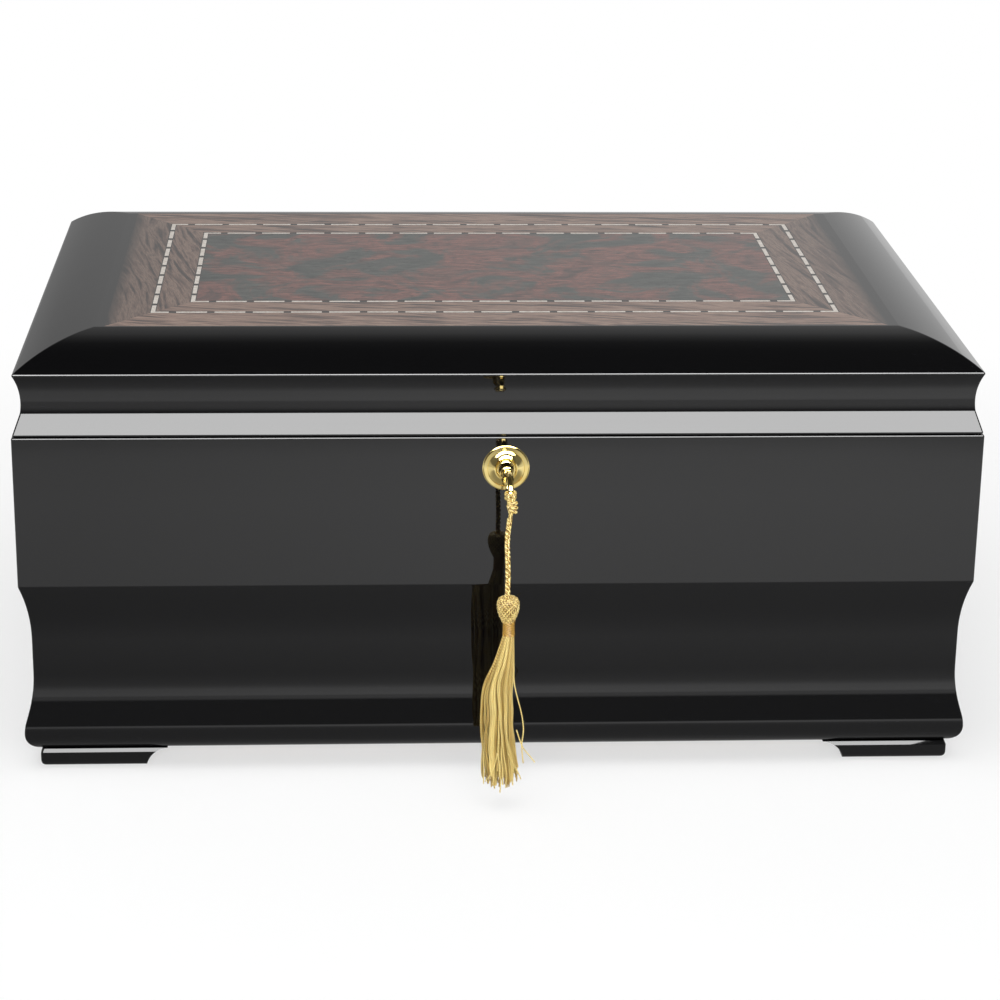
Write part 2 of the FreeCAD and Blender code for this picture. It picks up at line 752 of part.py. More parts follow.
def knuckle_ranges(first):
    """X ranges of every second knuckle, counted from first."""
    pitch = HINGE_LENGTH / KNUCKLE_COUNT
    return [(-HINGE_LENGTH / 2 + i * pitch + KNUCKLE_GAP, -HINGE_LENGTH / 2 + (i + 1) * pitch - KNUCKLE_GAP)
            for i in range(first, KNUCKLE_COUNT, 2)]


def barrel_notch():
    return axis_rod(KNUCKLE_R + BARREL_ROOM, -HINGE_LENGTH / 2 - 2, HINGE_LENGTH / 2 + 2)


def case_leaf_plate():
    half = HINGE_LENGTH / 2
    top = box((-half, half), (LEAF_FRONT_Y, -FACE_Y), (RIM_Z - LEAF_T, RIM_Z))
    flange = box((-half, half), (-FACE_Y - FLANGE_T, -FACE_Y), (RIM_Z - FLANGE_H, RIM_Z))
    return top.fuse(flange).removeSplitter()


def lid_leaf_plate():
    half = HINGE_LENGTH / 2
    return box((-half, half), (LEAF_FRONT_Y, LID_LEAF_BACK), (LID_Z, LID_Z + LEAF_T))


def case_leaf_seat():
    return [case_leaf_plate(), barrel_notch()]


def lid_leaf_seat():
    return [lid_leaf_plate(), barrel_notch()]


def other_knuckle_space(first):
    """Room round the other leaf's knuckles."""
    return [axis_rod(KNUCKLE_R + KNUCKLE_ROOM, low - 2 * KNUCKLE_GAP, high + 2 * KNUCKLE_GAP)
            for low, high in knuckle_ranges(first)]


def case_leaf(side):
    leaf = case_leaf_plate().cut(other_knuckle_space(1))
    webs = [box(r, (-FACE_Y, AXIS_Y), (RIM_Z - LEAF_T, RIM_Z)) for r in knuckle_ranges(0)]
    knuckles = [axis_rod(KNUCKLE_R, low, high) for low, high in knuckle_ranges(0)]
    leaf = leaf.fuse(webs + knuckles).cut(axis_rod(PIN_R, -HINGE_LENGTH, HINGE_LENGTH))
    return at_hinge(leaf, side).cut(case_screw_space()).removeSplitter()


def stop_heel(low, high):
    """Heel that meets the flange when the lid is open. It is drawn there and turned back."""
    heel = box((low, high), (-FACE_Y + STOP_GAP, AXIS_Y + STOP_BACK), (AXIS_Z - STOP_REACH, AXIS_Z))
    heel.rotate(Vector(0, AXIS_Y, AXIS_Z), Vector(1, 0, 0), LID_OPEN)
    return heel


def lid_leaf(side):
    leaf = lid_leaf_plate().cut(other_knuckle_space(0))
    webs = [box(r, (LEAF_FRONT_Y + WEB_REACH, AXIS_Y), (LID_Z, LID_Z + LEAF_T)) for r in knuckle_ranges(1)]
    knuckles = [axis_rod(KNUCKLE_R, low, high) for low, high in knuckle_ranges(1)]
    heels = [stop_heel(low, high) for low, high in knuckle_ranges(1)]
    leaf = leaf.fuse(webs + knuckles + heels).cut(axis_rod(PIN_R + RUNNING_FIT, -HINGE_LENGTH, HINGE_LENGTH))
    return at_hinge(leaf, side).cut(lid_screw_space()).removeSplitter()


def hinge_pins():
    half = HINGE_LENGTH / 2
    pin = axis_rod(PIN_R, -half, half)
    heads = [axis_rod(PIN_HEAD_R, -half - PIN_HEAD_T, -half), axis_rod(PIN_HEAD_R, half, half + PIN_HEAD_T)]
    pin = pin.fuse(heads)
    return Part.makeCompound([at_hinge(pin, -1), at_hinge(pin, 1)])


# Lock

def along_y(radius, y_low, y_high, x=0.0, z=0.0):
    """Cylinder along Y, placed from the keyhole's centre."""
    return Part.makeCylinder(radius, y_high - y_low, Vector(LOCK_X + x, y_low, KEY_Z + z), Vector(0, 1, 0))


def lock_box(x_low, x_high, y_range, z_range):
    """Box with its X range measured from the lock's centre."""
    return box((LOCK_X + x_low, LOCK_X + x_high), y_range, z_range)


def staple_x():
    """X ranges of the two staples, just past the fingers of the drawn-back bolt."""
    starts = [x + RISER_W + FINGER_LENGTH + STAPLE_GAP for x in RISER_X]
    return [(x, x + STAPLE_W) for x in starts]


def staple_slots():
    y_range = (LOCK_FRONT_Y + LOCK_SHEET, LOCK_BACK_Y - LOCK_SHEET)
    z_range = (RIM_Z - 2 * SELVEDGE_T, RIM_Z + 1)
    return [lock_box(low - STAPLE_ROOM, high + STAPLE_ROOM, y_range, z_range) for low, high in staple_x()]


def selvedge():
    return lock_box(-SELVEDGE_HALF_W, SELVEDGE_HALF_W, SELVEDGE_Y, (RIM_Z - SELVEDGE_T, RIM_Z))


def lock_shell():
    return lock_box(-LOCK_HALF_W, LOCK_HALF_W, (LOCK_FRONT_Y, LOCK_BACK_Y), (LOCK_BOTTOM, RIM_Z - SELVEDGE_T))


def lock_pocket():
    """Mortise for the lock, with the bore behind the escutcheon."""
    room = lock_box(-LOCK_HALF_W - FIT_GAP, LOCK_HALF_W + FIT_GAP,
                    (LOCK_FRONT_Y - FIT_GAP, LOCK_BACK_Y + FIT_GAP), (LOCK_BOTTOM - FIT_GAP, RIM_Z))
    return room.fuse([selvedge(), along_y(WALL_BORE_R, FACE_Y - 1, LOCK_FRONT_Y)])


def lock_case():
    inside = (LOCK_FRONT_Y + LOCK_SHEET, LOCK_BACK_Y - LOCK_SHEET)
    room = lock_box(-LOCK_HALF_W + LOCK_SHEET, LOCK_HALF_W - LOCK_SHEET, inside,
                    (LOCK_BOTTOM + LOCK_SHEET, RIM_Z - SELVEDGE_T))
    shell = lock_shell().cut(room).fuse(selvedge())
    sleeve_hole = along_y(HUB_SLEEVE_R + RUNNING_FIT, LOCK_FRONT_Y - 1, inside[0] + JOIN)
    shell = shell.cut(staple_slots() + [sleeve_hole])
    post = along_y(POST_R, KEY_TIP_Y - POST_LENGTH, inside[1] + JOIN)
    # Two guides behind the bolt's bar keep it in its plane
    behind = (BOLT_Y[1] + FIT_GAP, inside[1] + JOIN)
    guides = [lock_box(x, x + GUIDE_W, behind, BOLT_BAR_Z) for x in GUIDE_X]
    return shell.fuse([post] + guides).removeSplitter().cut(case_screw_space())


def lock_hub():
    """Sleeve that the key turns, with a flange that carries the cam pin."""
    flange_y = LOCK_FRONT_Y + LOCK_SHEET + FIT_GAP
    hub = along_y(HUB_SLEEVE_R, LOCK_FRONT_Y - HUB_LIP, flange_y + HUB_FLANGE_T)
    hub = hub.fuse(along_y(HUB_FLANGE_R, flange_y, flange_y + HUB_FLANGE_T))
    angle = math.radians(KEY_TURN / 2)
    pin_at = (-CAM_R * math.sin(angle), CAM_R * math.cos(angle))
    pin = along_y(CAM_PIN_R, flange_y, BOLT_Y[1] - CAM_PIN_SHORT, *pin_at)
    bore = along_y(SHANK_R + RUNNING_FIT, LOCK_FRONT_Y - 1, BOLT_Y[1])
    keyway = lock_box(-BIT_T / 2 - FIT_GAP, BIT_T / 2 + FIT_GAP, (LOCK_FRONT_Y - 1, BOLT_Y[1]),
                      (KEY_Z - BIT_R - KEYWAY_ROOM, KEY_Z))
    return hub.fuse(pin).removeSplitter().cut([bore, keyway])


def lock_bolt():
    """Sliding bar with two fingers and a fork that the cam pin moves."""
    bar = lock_box(RISER_X[0], RISER_X[1] + RISER_W, BOLT_Y, BOLT_BAR_Z)
    parts = []
    for x in RISER_X:
        parts.append(lock_box(x, x + RISER_W, BOLT_Y, (BOLT_BAR_Z[0], FINGER_Z[1])))
        parts.append(lock_box(x, x + RISER_W + FINGER_LENGTH, BOLT_Y, FINGER_Z))
    pin_x = -BOLT_TRAVEL / 2
    room = CAM_PIN_R + CAM_PIN_ROOM
    fork = room + FORK_WALL
    parts.append(lock_box(pin_x - fork, pin_x + fork, BOLT_Y, (KEY_Z + FORK_RISE, BOLT_BAR_Z[1])))
    path = lock_box(pin_x - room, pin_x + room, (BOLT_Y[0] - 1, BOLT_Y[1] + 1),
                    (KEY_Z + FORK_SLOT_Z[0], KEY_Z + FORK_SLOT_Z[1]))
    return bar.fuse(parts).removeSplitter().cut(path)


def strike_plate():
    """Plate under the lid's front rail, with two staples that the bolt's fingers enter."""
    face = lock_box(-STRIKE_HALF_W, STRIKE_HALF_W, SELVEDGE_Y, (LID_Z, LID_Z + SELVEDGE_T))
    staple_z = (STAPLE_BOTTOM, LID_Z + SELVEDGE_T / 3)
    staples = [lock_box(low, high, STAPLE_Y, staple_z) for low, high in staple_x()]
    eye_y = (STAPLE_Y[0] + STAPLE_RIM, STAPLE_Y[1] - STAPLE_RIM)
    eye_z = (FINGER_Z[0] - STAPLE_EYE_ROOM, FINGER_Z[1] + STAPLE_EYE_ROOM)
    eyes = [lock_box(low - 1, high + 1, eye_y, eye_z) for low, high in staple_x()]
    return face.fuse(staples).removeSplitter().cut(eyes + lid_screw_space())


def strike_recess():
    return lock_box(-STRIKE_HALF_W, STRIKE_HALF_W, SELVEDGE_Y, (LID_Z, LID_Z + SELVEDGE_T))


def escutcheon():
    """Round rose: flat rim, dome, and a raised lip round the keyhole."""
    path = [
        (KEYHOLE_R, -ROSE_COLLAR_T, 0),
        (ROSE_COLLAR_R, -ROSE_COLLAR_T, 0),
        (ROSE_COLLAR_R, 0, 0),
        (ROSE_R, 0, 0),
        (ROSE_R - 0.7, 1.1, 0.85),
        (ROSE_R - 2.3, 1.3, 0),
        (ROSE_R - ROSE_RIM, 1.0, 0),
        (ROSE_DOME_R, ROSE_DOME_T, 9.0),
        (ROSE_LIP_R, ROSE_DOME_T - 0.1, 0),
        (ROSE_LIP_R, ROSE_T, 0),
        (KEYHOLE_R, ROSE_T, 0.75),
    ]
    return turned(path, Vector(LOCK_X, FACE_Y, KEY_Z), Vector(0, -1, 0))


# Key

def ellipse_plate(half, thickness, inset=0.0):
    """Elliptical plate in the YZ plane at the bow's centre."""
    centre = Vector(LOCK_X - thickness / 2, FACE_Y - BOW_CENTRE, KEY_Z)
    ring = Part.Ellipse(Vector(0, 0, 0), half[0] - inset, half[1] - inset)
    face = Part.Face(Part.Wire([ring.toShape()]))
    solid = face.extrude(Vector(0, 0, thickness))
    solid.rotate(Vector(0, 0, 0), Vector(0, 0, 1), 90)
    solid.rotate(Vector(0, 0, 0), Vector(0, 1, 0), 90)
    solid.translate(centre)
    return solid


def key():
    bow = ellipse_plate(BOW_HALF, BOW_T)
    bow = bow.cut(ellipse_plate(EYE_HALF, 3 * BOW_T))
    rims = [e for e in bow.Edges if e.Length > 20]
    bow = bow.makeFillet(BOW_ROUND, rims)
    back = -(FACE_Y - BOW_CENTRE + BOW_HALF[0])
    shank = along_y(SHANK_R, -back - 1.5, KEY_TIP_Y)
    base = Vector(LOCK_X, FACE_Y, KEY_Z)
    collar = turned(KEY_COLLAR, base, Vector(0, -1, 0))
    ball = turned(KEY_BALL, base, Vector(0, -1, 0))
    bit_y = (LOCK_FRONT_Y - BIT_PLAY, LOCK_FRONT_Y + LOCK_SHEET + BIT_REACH)
    bit = lock_box(-BIT_T / 2, BIT_T / 2, bit_y, (KEY_Z - BIT_R, KEY_Z - BIT_ROOT))
    bore = along_y(SHANK_BORE_R, KEY_TIP_Y - KEY_BORE_DEPTH, KEY_TIP_Y + 1)
    return shank.fuse([collar, ball, bow, bit]).removeSplitter().cut(bore)


# Tassel

def tassel_hitch():
    """Cord wrapped round the nose of the bow, through its eye."""
    nose = FACE_Y - BOW_CENTRE - BOW_HALF[0]
    y_range = (nose - HITCH_FRONT, nose + BOW_HALF[0] - EYE_HALF[0] + HITCH_BACK)
    wrap = lock_box(-HITCH_HALF_X, HITCH_HALF_X, y_range, (KEY_Z - HITCH_HALF_Z, KEY_Z + HITCH_HALF_Z))
    upright = [e for e in wrap.Edges if e.Length < 2 * HITCH_HALF_Z + 0.1]
    return wrap.makeFillet(HITCH_ROUND, upright).cut(key())


def tassel_knot():
    """Two short strands in front of the hitch, and the knot that they end in."""
    bead = turned(KNOT, Vector(LOCK_X, TASSEL_Y, 0), UP)
    strands = []
    length = STRAND_Z[1] - STRAND_Z[0]
    for side in (-1, 1):
        foot = Vector(LOCK_X + side * STRAND_X, TASSEL_Y - STRAND_OUT, STRAND_Z[0])
        strands.append(Part.makeCylinder(STRAND_R, length, foot))
        strands.append(Part.makeSphere(STRAND_R, foot + UP * length))
    return bead.fuse(strands).removeSplitter()


def cord_points():
    return [Vector(LOCK_X + x, TASSEL_Y + y, z) for x, y, z in CORD_ROUTE]


def tassel_cord():
    """Tube of straight runs joined by tangent arcs along the route."""
    points = cord_points()
    edges = []
    here = points[0]
    for before, corner, after in zip(points, points[1:], points[2:]):
        back = (before - corner).normalize()
        on = (after - corner).normalize()
        half_turn = (math.pi - back.getAngle(on)) / 2
        trim = CORD_BEND * min((before - corner).Length, (after - corner).Length)
        radius = trim / math.tan(half_turn)
        print(f"cord bend radius {radius:.0f} mm at height {corner.z:.0f}")
        start = corner + back * trim
        end = corner + on * trim
        to_centre = (back + on).normalize()
        middle = corner + to_centre * (radius / math.cos(half_turn) - radius)
        edges.append(Part.LineSegment(here, start).toShape())
        edges.append(Part.Arc(start, middle, end).toShape())
        here = end
    edges.append(Part.LineSegment(here, points[-1]).toShape())
    path = Part.Wire(edges)
    first = points[1] - points[0]
    circle = Part.Wire([Part.makeCircle(CORD_D / 2, points[0], first)])
    tube = path.makePipeShell([circle], True, True)
    ratio = tube.Volume / (math.pi * CORD_D ** 2 / 4 * path.Length)
    print(f"cord length {path.Length:.1f} mm, volume over section times length {ratio:.4f}")
    return tube


def tassel_head(cord):
    """Heart-shaped head with a dimple where the cord enters."""
    base = Vector(LOCK_X + HEAD_X, TASSEL_Y, 0)
    path = [
        (0, HEAD_TOP_Z - DIMPLE[2], 0),
        (DIMPLE[0], HEAD_TOP_Z - DIMPLE[1], 0),
        (3.2, HEAD_TOP_Z, 2.4),
        (HEAD_R, HEAD_TOP_Z - HEAD_WIDEST, 3.4),
        (COLLAR_R, HEAD_BOTTOM_Z, 11.0),
        (0, HEAD_BOTTOM_Z, 0),
    ]
    return turned(path, base, Vector(0, 0, 1)).cut(cord)


def tassel_collar(cord):
    base = Vector(LOCK_X + COLLAR_X, TASSEL_Y, COLLAR_BOTTOM_Z)
    return Part.makeCylinder(COLLAR_R, HEAD_BOTTOM_Z - COLLAR_BOTTOM_Z, base).cut(cord)


def oval(centre_x, z, half_x, half_y):
    """Closed oval of four arcs through the eight points of an ellipse."""
    spots = []
    for i in range(8):
        angle = math.radians(45 * i)
        spots.append(Vector(LOCK_X + centre_x + half_x * math.cos(angle),
                            TASSEL_Y + half_y * math.sin(angle), z))
    arcs = [Part.Arc(spots[i], spots[i + 1], spots[(i + 2) % 8]).toShape() for i in (0, 2, 4, 6)]
    return Part.Wire(arcs)


def tassel_skirt(cord):
    """Fall of threads that sways to the left and hangs back down."""
    fall = Part.makeLoft([oval(*row) for row in SKIRT_OVALS], True, False)
    return fall.cut(cord)


# Humidifier and hygrometer

def humid_box(shrink, z_range):
    """Round-cornered block on the humidifier's centre."""
    half_x, half_y = shrunk(HUMID_HALF, shrink)
    block = box((HUMID_X - half_x, HUMID_X + half_x), (-half_y, half_y), z_range)
    upright = [e for e in block.Edges if abs(e.Length - (z_range[1] - z_range[0])) < 0.01]
    return block.makeFillet(max(HUMID_CORNER - shrink, HUMID_CORNER_LEAST), upright)


def magnet_centres(z):
    return [Vector(HUMID_X + side * MAGNET_X, 0, z) for side in (-1, 1)]


def humidifier_parts():
    magnets = [Part.makeCylinder(MAGNET_R, MAGNET_T, p) for p in magnet_centres(HUMID_TOP - MAGNET_T)]
    hollow = humid_box(HUMID_WALL, (HUMID_LOW, HUMID_TOP - HUMID_ROOF))
    housing = humid_box(0, (HUMID_LOW, HUMID_TOP)).cut(hollow)
    grille = humid_box(HUMID_WALL, (HUMID_LOW, HUMID_LOW + GRILLE_T))
    pitch = 2 * (HUMID_HALF[0] - GRILLE_MARGIN) / LOUVRE_COUNT
    louvres = []
    for i in range(LOUVRE_COUNT):
        x = HUMID_X + (i - (LOUVRE_COUNT - 1) / 2) * pitch
        louvre = slot(Vector(0, 0, HUMID_LOW), LOUVRE_LENGTH, LOUVRE_W, UP, 4 * GRILLE_T)
        louvre.rotate(Vector(0, 0, 0), Vector(0, 0, 1), 90)
        louvre.translate(Vector(x, 0, 0))
        louvres.append(louvre)
    return {
        "humidifier_housing": housing.cut(magnets),
        "humidifier_grille": grille.cut(louvres),
        "humidifier_foam": humid_box(HUMID_WALL + FOAM_GAP, (HUMID_LOW + GRILLE_T, HUMID_TOP - HUMID_ROOF)),
        "humidifier_magnets": Part.makeCompound(magnets),
    }


def humidifier_discs():
    """Steel discs under the lid's ceiling that the magnets hold to."""
    centres = magnet_centres(CEILING_Z - DISC_T)
    return Part.makeCompound([Part.makeCylinder(DISC_R, DISC_T, centre) for centre in centres])


def hygrometer_parts():
    """Cup with a bezel, pushed up into the ceiling, with its dial facing down."""
    base = Vector(HYGRO_X, 0, 0)
    low = CEILING_Z - BEZEL_DROP
    inner = HYGRO_R - CUP_WALL
    case = turned([
        (inner, HYGRO_TOP_Z - CUP_WALL, 0),
        (inner, low, 0),
        (BEZEL_R - BEZEL_ROUND, low, 0),
        (BEZEL_R, low + BEZEL_ROUND, BEZEL_ROUND),
        (BEZEL_R, CEILING_Z, 0),
        (HYGRO_R, CEILING_Z, 0),
        (HYGRO_R, HYGRO_TOP_Z, 0),
        (0, HYGRO_TOP_Z, 0),
        (0, HYGRO_TOP_Z - CUP_WALL, 0),
    ], base, UP)
    glass = Part.makeCylinder(inner, GLASS_T, base + UP * (low + GLASS_RISE))
    dial_z = low + DIAL_RISE
    dial = Part.makeCylinder(inner, DIAL_T, base + UP * dial_z)
    arbor_hole = Part.makeCylinder(ARBOR_HOLE_R, DIAL_T, base + UP * dial_z)
    needle_z = dial_z - NEEDLE_UNDER_DIAL
    outline = [Vector(HYGRO_X + x, y, needle_z) for x, y in NEEDLE]
    needle = Part.Face(Part.makePolygon(outline + outline[:1])).extrude(UP * NEEDLE_T)
    hub_r, hub_t, hub_drop = NEEDLE_HUB
    hub = Part.makeCylinder(hub_r, hub_t, base + UP * (needle_z - hub_drop))
    arbor = Part.makeCylinder(ARBOR_R, ARBOR_LENGTH, base + UP * needle_z)
    return {
        "hygrometer_case": case,
        "hygrometer_glass": glass,
        "hygrometer_dial": dial.cut(arbor_hole),
        "hygrometer_needle": needle.fuse([hub, arbor]).removeSplitter(),
    }


def all_parts():
    parts = {}
    parts.update(case_walls())
    parts["case_base_panel"] = base_panel()
    parts.update(feet())
    parts["foot_felt_pads"] = foot_pads()
    parts.update(screws())
    parts.update(case_liners())
    parts["tray_runners"] = tray_runners()
    parts["lock_case"] = lock_case()
    parts["escutcheon"] = escutcheon()
    parts["hinge_case_leaves"] = Part.makeCompound([case_leaf(-1), case_leaf(1)])
    parts["hinge_lid_leaves"] = Part.makeCompound([lid_leaf(-1), lid_leaf(1)])
    parts["hinge_pins"] = hinge_pins()
    parts["lock_hub"] = lock_hub()
    parts["lock_bolt"] = lock_bolt()
    parts["strike_plate"] = strike_plate()
    parts["key"] = key()
    parts["tassel_hitch"] = tassel_hitch()
    parts["tassel_knot"] = tassel_knot()
    cord = tassel_cord()
    parts["tassel_cord"] = cord
    parts["tassel_head"] = tassel_head(cord)
    parts["tassel_collar"] = tassel_collar(cord)
    parts["tassel_skirt"] = tassel_skirt(cord)
    parts.update(lid_rails())
    parts["lid_top_panel"] = lid_top_panel()
    parts["lid_ceiling"] = lid_ceiling()
    parts["lid_liner"] = lid_liner()
    parts.update(inlay())
    parts.update(tray_parts())
    parts["tray_divider"] = tray_divider()
    parts["case_divider"] = case_divider()
    parts.update(humidifier_parts())
    parts["humidifier_discs"] = humidifier_discs()
    parts.update(hygrometer_parts())
    return parts


os.makedirs("parts", exist_ok=True)
shapes = all_parts()
for node, shape in shapes.items():
    shape.exportStep(f"parts/{node}.step")
print(len(shapes), "parts written")
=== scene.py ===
# %% [markdown]
# A black-lacquered desktop humidor
#
# The box is a profiled case with a hinged lid. Its outside is black polyester lacquer, the
# lid's flat top is inlaid with burl, rosewood and two dashed strings, and the inside is bare
# Spanish cedar. This lesson builds its looks round a model whose sizes and joints are fixed,
# so every piece below is made where that model says, in metres, and rides on one of its bodies.

# %% Load the model
import bpy
import bmesh
import json
import math
import random
from mathutils import Matrix, Vector

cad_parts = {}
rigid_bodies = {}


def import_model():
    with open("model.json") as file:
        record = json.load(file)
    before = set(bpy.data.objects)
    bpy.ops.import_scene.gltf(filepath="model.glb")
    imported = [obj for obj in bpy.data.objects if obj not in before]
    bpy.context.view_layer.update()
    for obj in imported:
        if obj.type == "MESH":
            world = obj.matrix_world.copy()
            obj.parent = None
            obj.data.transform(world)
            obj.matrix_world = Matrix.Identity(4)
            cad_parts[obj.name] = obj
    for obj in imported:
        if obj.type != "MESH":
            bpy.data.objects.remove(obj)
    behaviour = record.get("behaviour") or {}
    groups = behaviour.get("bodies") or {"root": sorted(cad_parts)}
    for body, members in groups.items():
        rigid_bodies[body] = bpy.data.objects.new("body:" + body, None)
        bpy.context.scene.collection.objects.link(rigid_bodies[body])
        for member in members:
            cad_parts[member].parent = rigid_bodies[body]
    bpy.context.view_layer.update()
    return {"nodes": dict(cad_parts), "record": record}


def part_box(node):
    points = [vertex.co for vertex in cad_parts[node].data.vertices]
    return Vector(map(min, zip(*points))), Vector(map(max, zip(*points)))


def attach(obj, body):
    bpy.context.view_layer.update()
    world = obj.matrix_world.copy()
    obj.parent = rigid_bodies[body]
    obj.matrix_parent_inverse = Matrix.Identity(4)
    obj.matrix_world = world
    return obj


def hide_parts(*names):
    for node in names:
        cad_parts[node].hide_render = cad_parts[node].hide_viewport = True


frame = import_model()
MM = 0.001

# %% [markdown]
# The camera
#
# The camera stands a little left of the lock, looks down on the lid, and is tilted by less
# than a degree. Its place and lens could be set by eye, but here they come from a fit to the
# inlay's dashes and the box's outline, so they are written as a point, three angles and a
# focal length in pixels of a 1000 pixel wide picture.

# %% Make the camera
CAMERA_AT = Vector((-71.5, -1410.1, 583.5)) * MM
CAMERA_YAW = math.radians(3.224)
CAMERA_DOWN = math.radians(19.378)
CAMERA_ROLL = math.radians(0.794)
FOCAL_PX = 2795.8
PICTURE_PX = 1000
SENSOR_MM = 36.0


def camera_matrix():
    forward = Vector((math.sin(CAMERA_YAW) * math.cos(CAMERA_DOWN),
                      math.cos(CAMERA_YAW) * math.cos(CAMERA_DOWN), -math.sin(CAMERA_DOWN)))
    level = Vector((math.cos(CAMERA_YAW), -math.sin(CAMERA_YAW), 0))
    over = level.cross(forward)
    right = math.cos(CAMERA_ROLL) * level + math.sin(CAMERA_ROLL) * over
    up = -math.sin(CAMERA_ROLL) * level + math.cos(CAMERA_ROLL) * over
    turn = Matrix((right, up, -forward)).transposed()
    return Matrix.Translation(CAMERA_AT) @ turn.to_4x4()


camera = bpy.data.objects.new("camera", bpy.data.cameras.new("camera"))
bpy.context.scene.collection.objects.link(camera)
camera.data.sensor_width = SENSOR_MM
camera.data.lens = FOCAL_PX * SENSOR_MM / PICTURE_PX
camera.data.clip_start = 0.05
camera.matrix_world = camera_matrix()
bpy.context.scene.camera = camera
print("lens in mm:", round(camera.data.lens, 2))

# %% [markdown]
# Helpers for meshes
#
# Most pieces are lists of points and faces, so one function turns such lists into an object
# at the origin. Another applies what is on an object, such as modifiers, by asking Blender
# for the evaluated result, which keeps every piece a plain mesh.

# %% Mesh helpers
LOCK_X = 2.0 * MM
KEY_Z = 156.6 * MM
HALF_W = 230.0 * MM
HALF_D = 151.0 * MM


def new_object(name, data):
    made = bpy.data.objects.new(name, data)
    bpy.context.scene.collection.objects.link(made)
    return made


def new_mesh(name, points, faces):
    """Object at the origin from points in metres, with its faces turned outwards."""
    data = bpy.data.meshes.new(name)
    data.from_pydata([tuple(p) for p in points], [], faces)
    shape = bmesh.new()
    shape.from_mesh(data)
    bmesh.ops.remove_doubles(shape, verts=shape.verts, dist=1e-6)
    bmesh.ops.recalc_face_normals(shape, faces=shape.faces)
    shape.to_mesh(data)
    shape.free()
    return new_object(name, data)


def plain(source, name=None):
    """The evaluated object as a plain mesh. The source is removed."""
    name = name or source.name
    source.name = source.name + "_source"
    depsgraph = bpy.context.evaluated_depsgraph_get()
    data = bpy.data.meshes.new_from_object(source.evaluated_get(depsgraph))
    old = source.data
    bpy.data.objects.remove(source)
    if old.users == 0 and isinstance(old, bpy.types.Mesh):
        bpy.data.meshes.remove(old)
    data.name = name
    return new_object(name, data)


def box_mesh(name, low, high, bevel=0.0):
    """Box between two corners, with its edges eased by bevel."""
    corners = [(x, y, z) for x in (low[0], high[0]) for y in (low[1], high[1]) for z in (low[2], high[2])]
    faces = [(0, 1, 3, 2), (4, 6, 7, 5), (0, 4, 5, 1), (2, 3, 7, 6), (0, 2, 6, 4), (1, 5, 7, 3)]
    made = new_mesh(name, corners, faces)
    if bevel:
        shape = bmesh.new()
        shape.from_mesh(made.data)
        bmesh.ops.bevel(shape, geom=list(shape.edges), offset=bevel, segments=2, profile=0.5, affect="EDGES")
        shape.to_mesh(made.data)
        shape.free()
    return made


def joined(name, objects):
    """One mesh object from several."""
    shape = bmesh.new()
    for source in objects:
        shape.from_mesh(source.data)
    data = bpy.data.meshes.new(name)
    shape.to_mesh(data)
    shape.free()
    for source in objects:
        bpy.data.objects.remove(source)
    return new_object(name, data)


def smooth(made, angle=35.0):
    """Smooth shading that keeps edges sharper than angle."""
    for face in made.data.polygons:
        face.use_smooth = True
    made.data.set_sharp_from_angle(angle=math.radians(angle))
    return made


def place(made, body, slot, material, *nodes):
    """Give a piece its material and body, and hide the nodes that it stands for."""
    if material is not None:
        made.data.materials.clear()
        made.data.materials.append(material)
    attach(made, body)
    if nodes:
        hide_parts(*nodes)
    return made


print("mesh helpers ready")

# %% [markdown]
# The tassel's cord
#
# The key tassel hangs on a plaited cord of gold thread, 2.4 mm thick and 83 mm long, held
# straight by the tassel's weight but with the small waves of thread that was once coiled.
# A bent tube would do, but three plies plaited along one smooth line show how it is made. The
# line is a NURBS curve steered by a short list of points, and the plies follow points read
# from it.

# %% The cord's route
CORD_POINTS = [
    (1.6, -196.2, 146.5),
    (0.4, -195.9, 138.0),
    (0.8, -196.1, 128.0),
    (1.2, -196.4, 118.0),
    (0.9, -196.2, 107.5),
    (1.6, -196.0, 96.5),
    (2.1, -196.1, 86.0),
    (1.1, -196.3, 75.0),
    (-0.6, -196.2, 64.0),
]


def spline_points(points):
    """Points read from a smooth NURBS line with the given control points."""
    data = bpy.data.curves.new("route", "CURVE")
    data.dimensions = "3D"
    data.resolution_u = 10
    line = data.splines.new("NURBS")
    line.points.add(len(points) - 1)
    for spot, p in zip(line.points, points):
        spot.co = (*p, 1.0)
    line.order_u = 3
    line.use_endpoint_u = True
    holder = new_object("route", data)
    drawn = plain(holder, "route_read")
    read = [v.co.copy() for v in drawn.data.vertices]
    bpy.data.objects.remove(drawn)
    return read


cord_line = spline_points([Vector(p) * MM for p in CORD_POINTS])
cord_length = sum((b - a).length for a, b in zip(cord_line, cord_line[1:]))
print("cord points:", len(cord_line), "length in mm:", round(cord_length / MM, 1))

# %% [markdown]
# Tubes
#
# Threads, plies and wires are all round tubes along a line. A curve object with a bevel
# would make them, but it can't share one mesh with other tubes. So one function carries a
# small ring along a list of points without twisting it, and closes both ends.

# %% Tube helper
def tube_parts(points, radius, sides):
    """Points and faces of a tube along points, closed at both ends."""
    count = len(points)
    verts = []
    faces = []
    across = None
    for i, p in enumerate(points):
        ahead = points[min(i + 1, count - 1)]
        behind = points[max(i - 1, 0)]
        along = (ahead - behind).normalized()
        if across is None:
            across = along.orthogonal().normalized()
        across = (across - along * across.dot(along)).normalized()
        side = along.cross(across)
        for k in range(sides):
            a = 2 * math.pi * k / sides
            verts.append(p + (across * math.cos(a) + side * math.sin(a)) * radius)
    for i in range(count - 1):
        here = i * sides
        there = here + sides
        for k in range(sides):
            n = (k + 1) % sides
            faces.append((here + k, here + n, there + n, there + k))
    faces.append(tuple(range(sides - 1, -1, -1)))
    faces.append(tuple(range((count - 1) * sides, count * sides)))
    return verts, faces


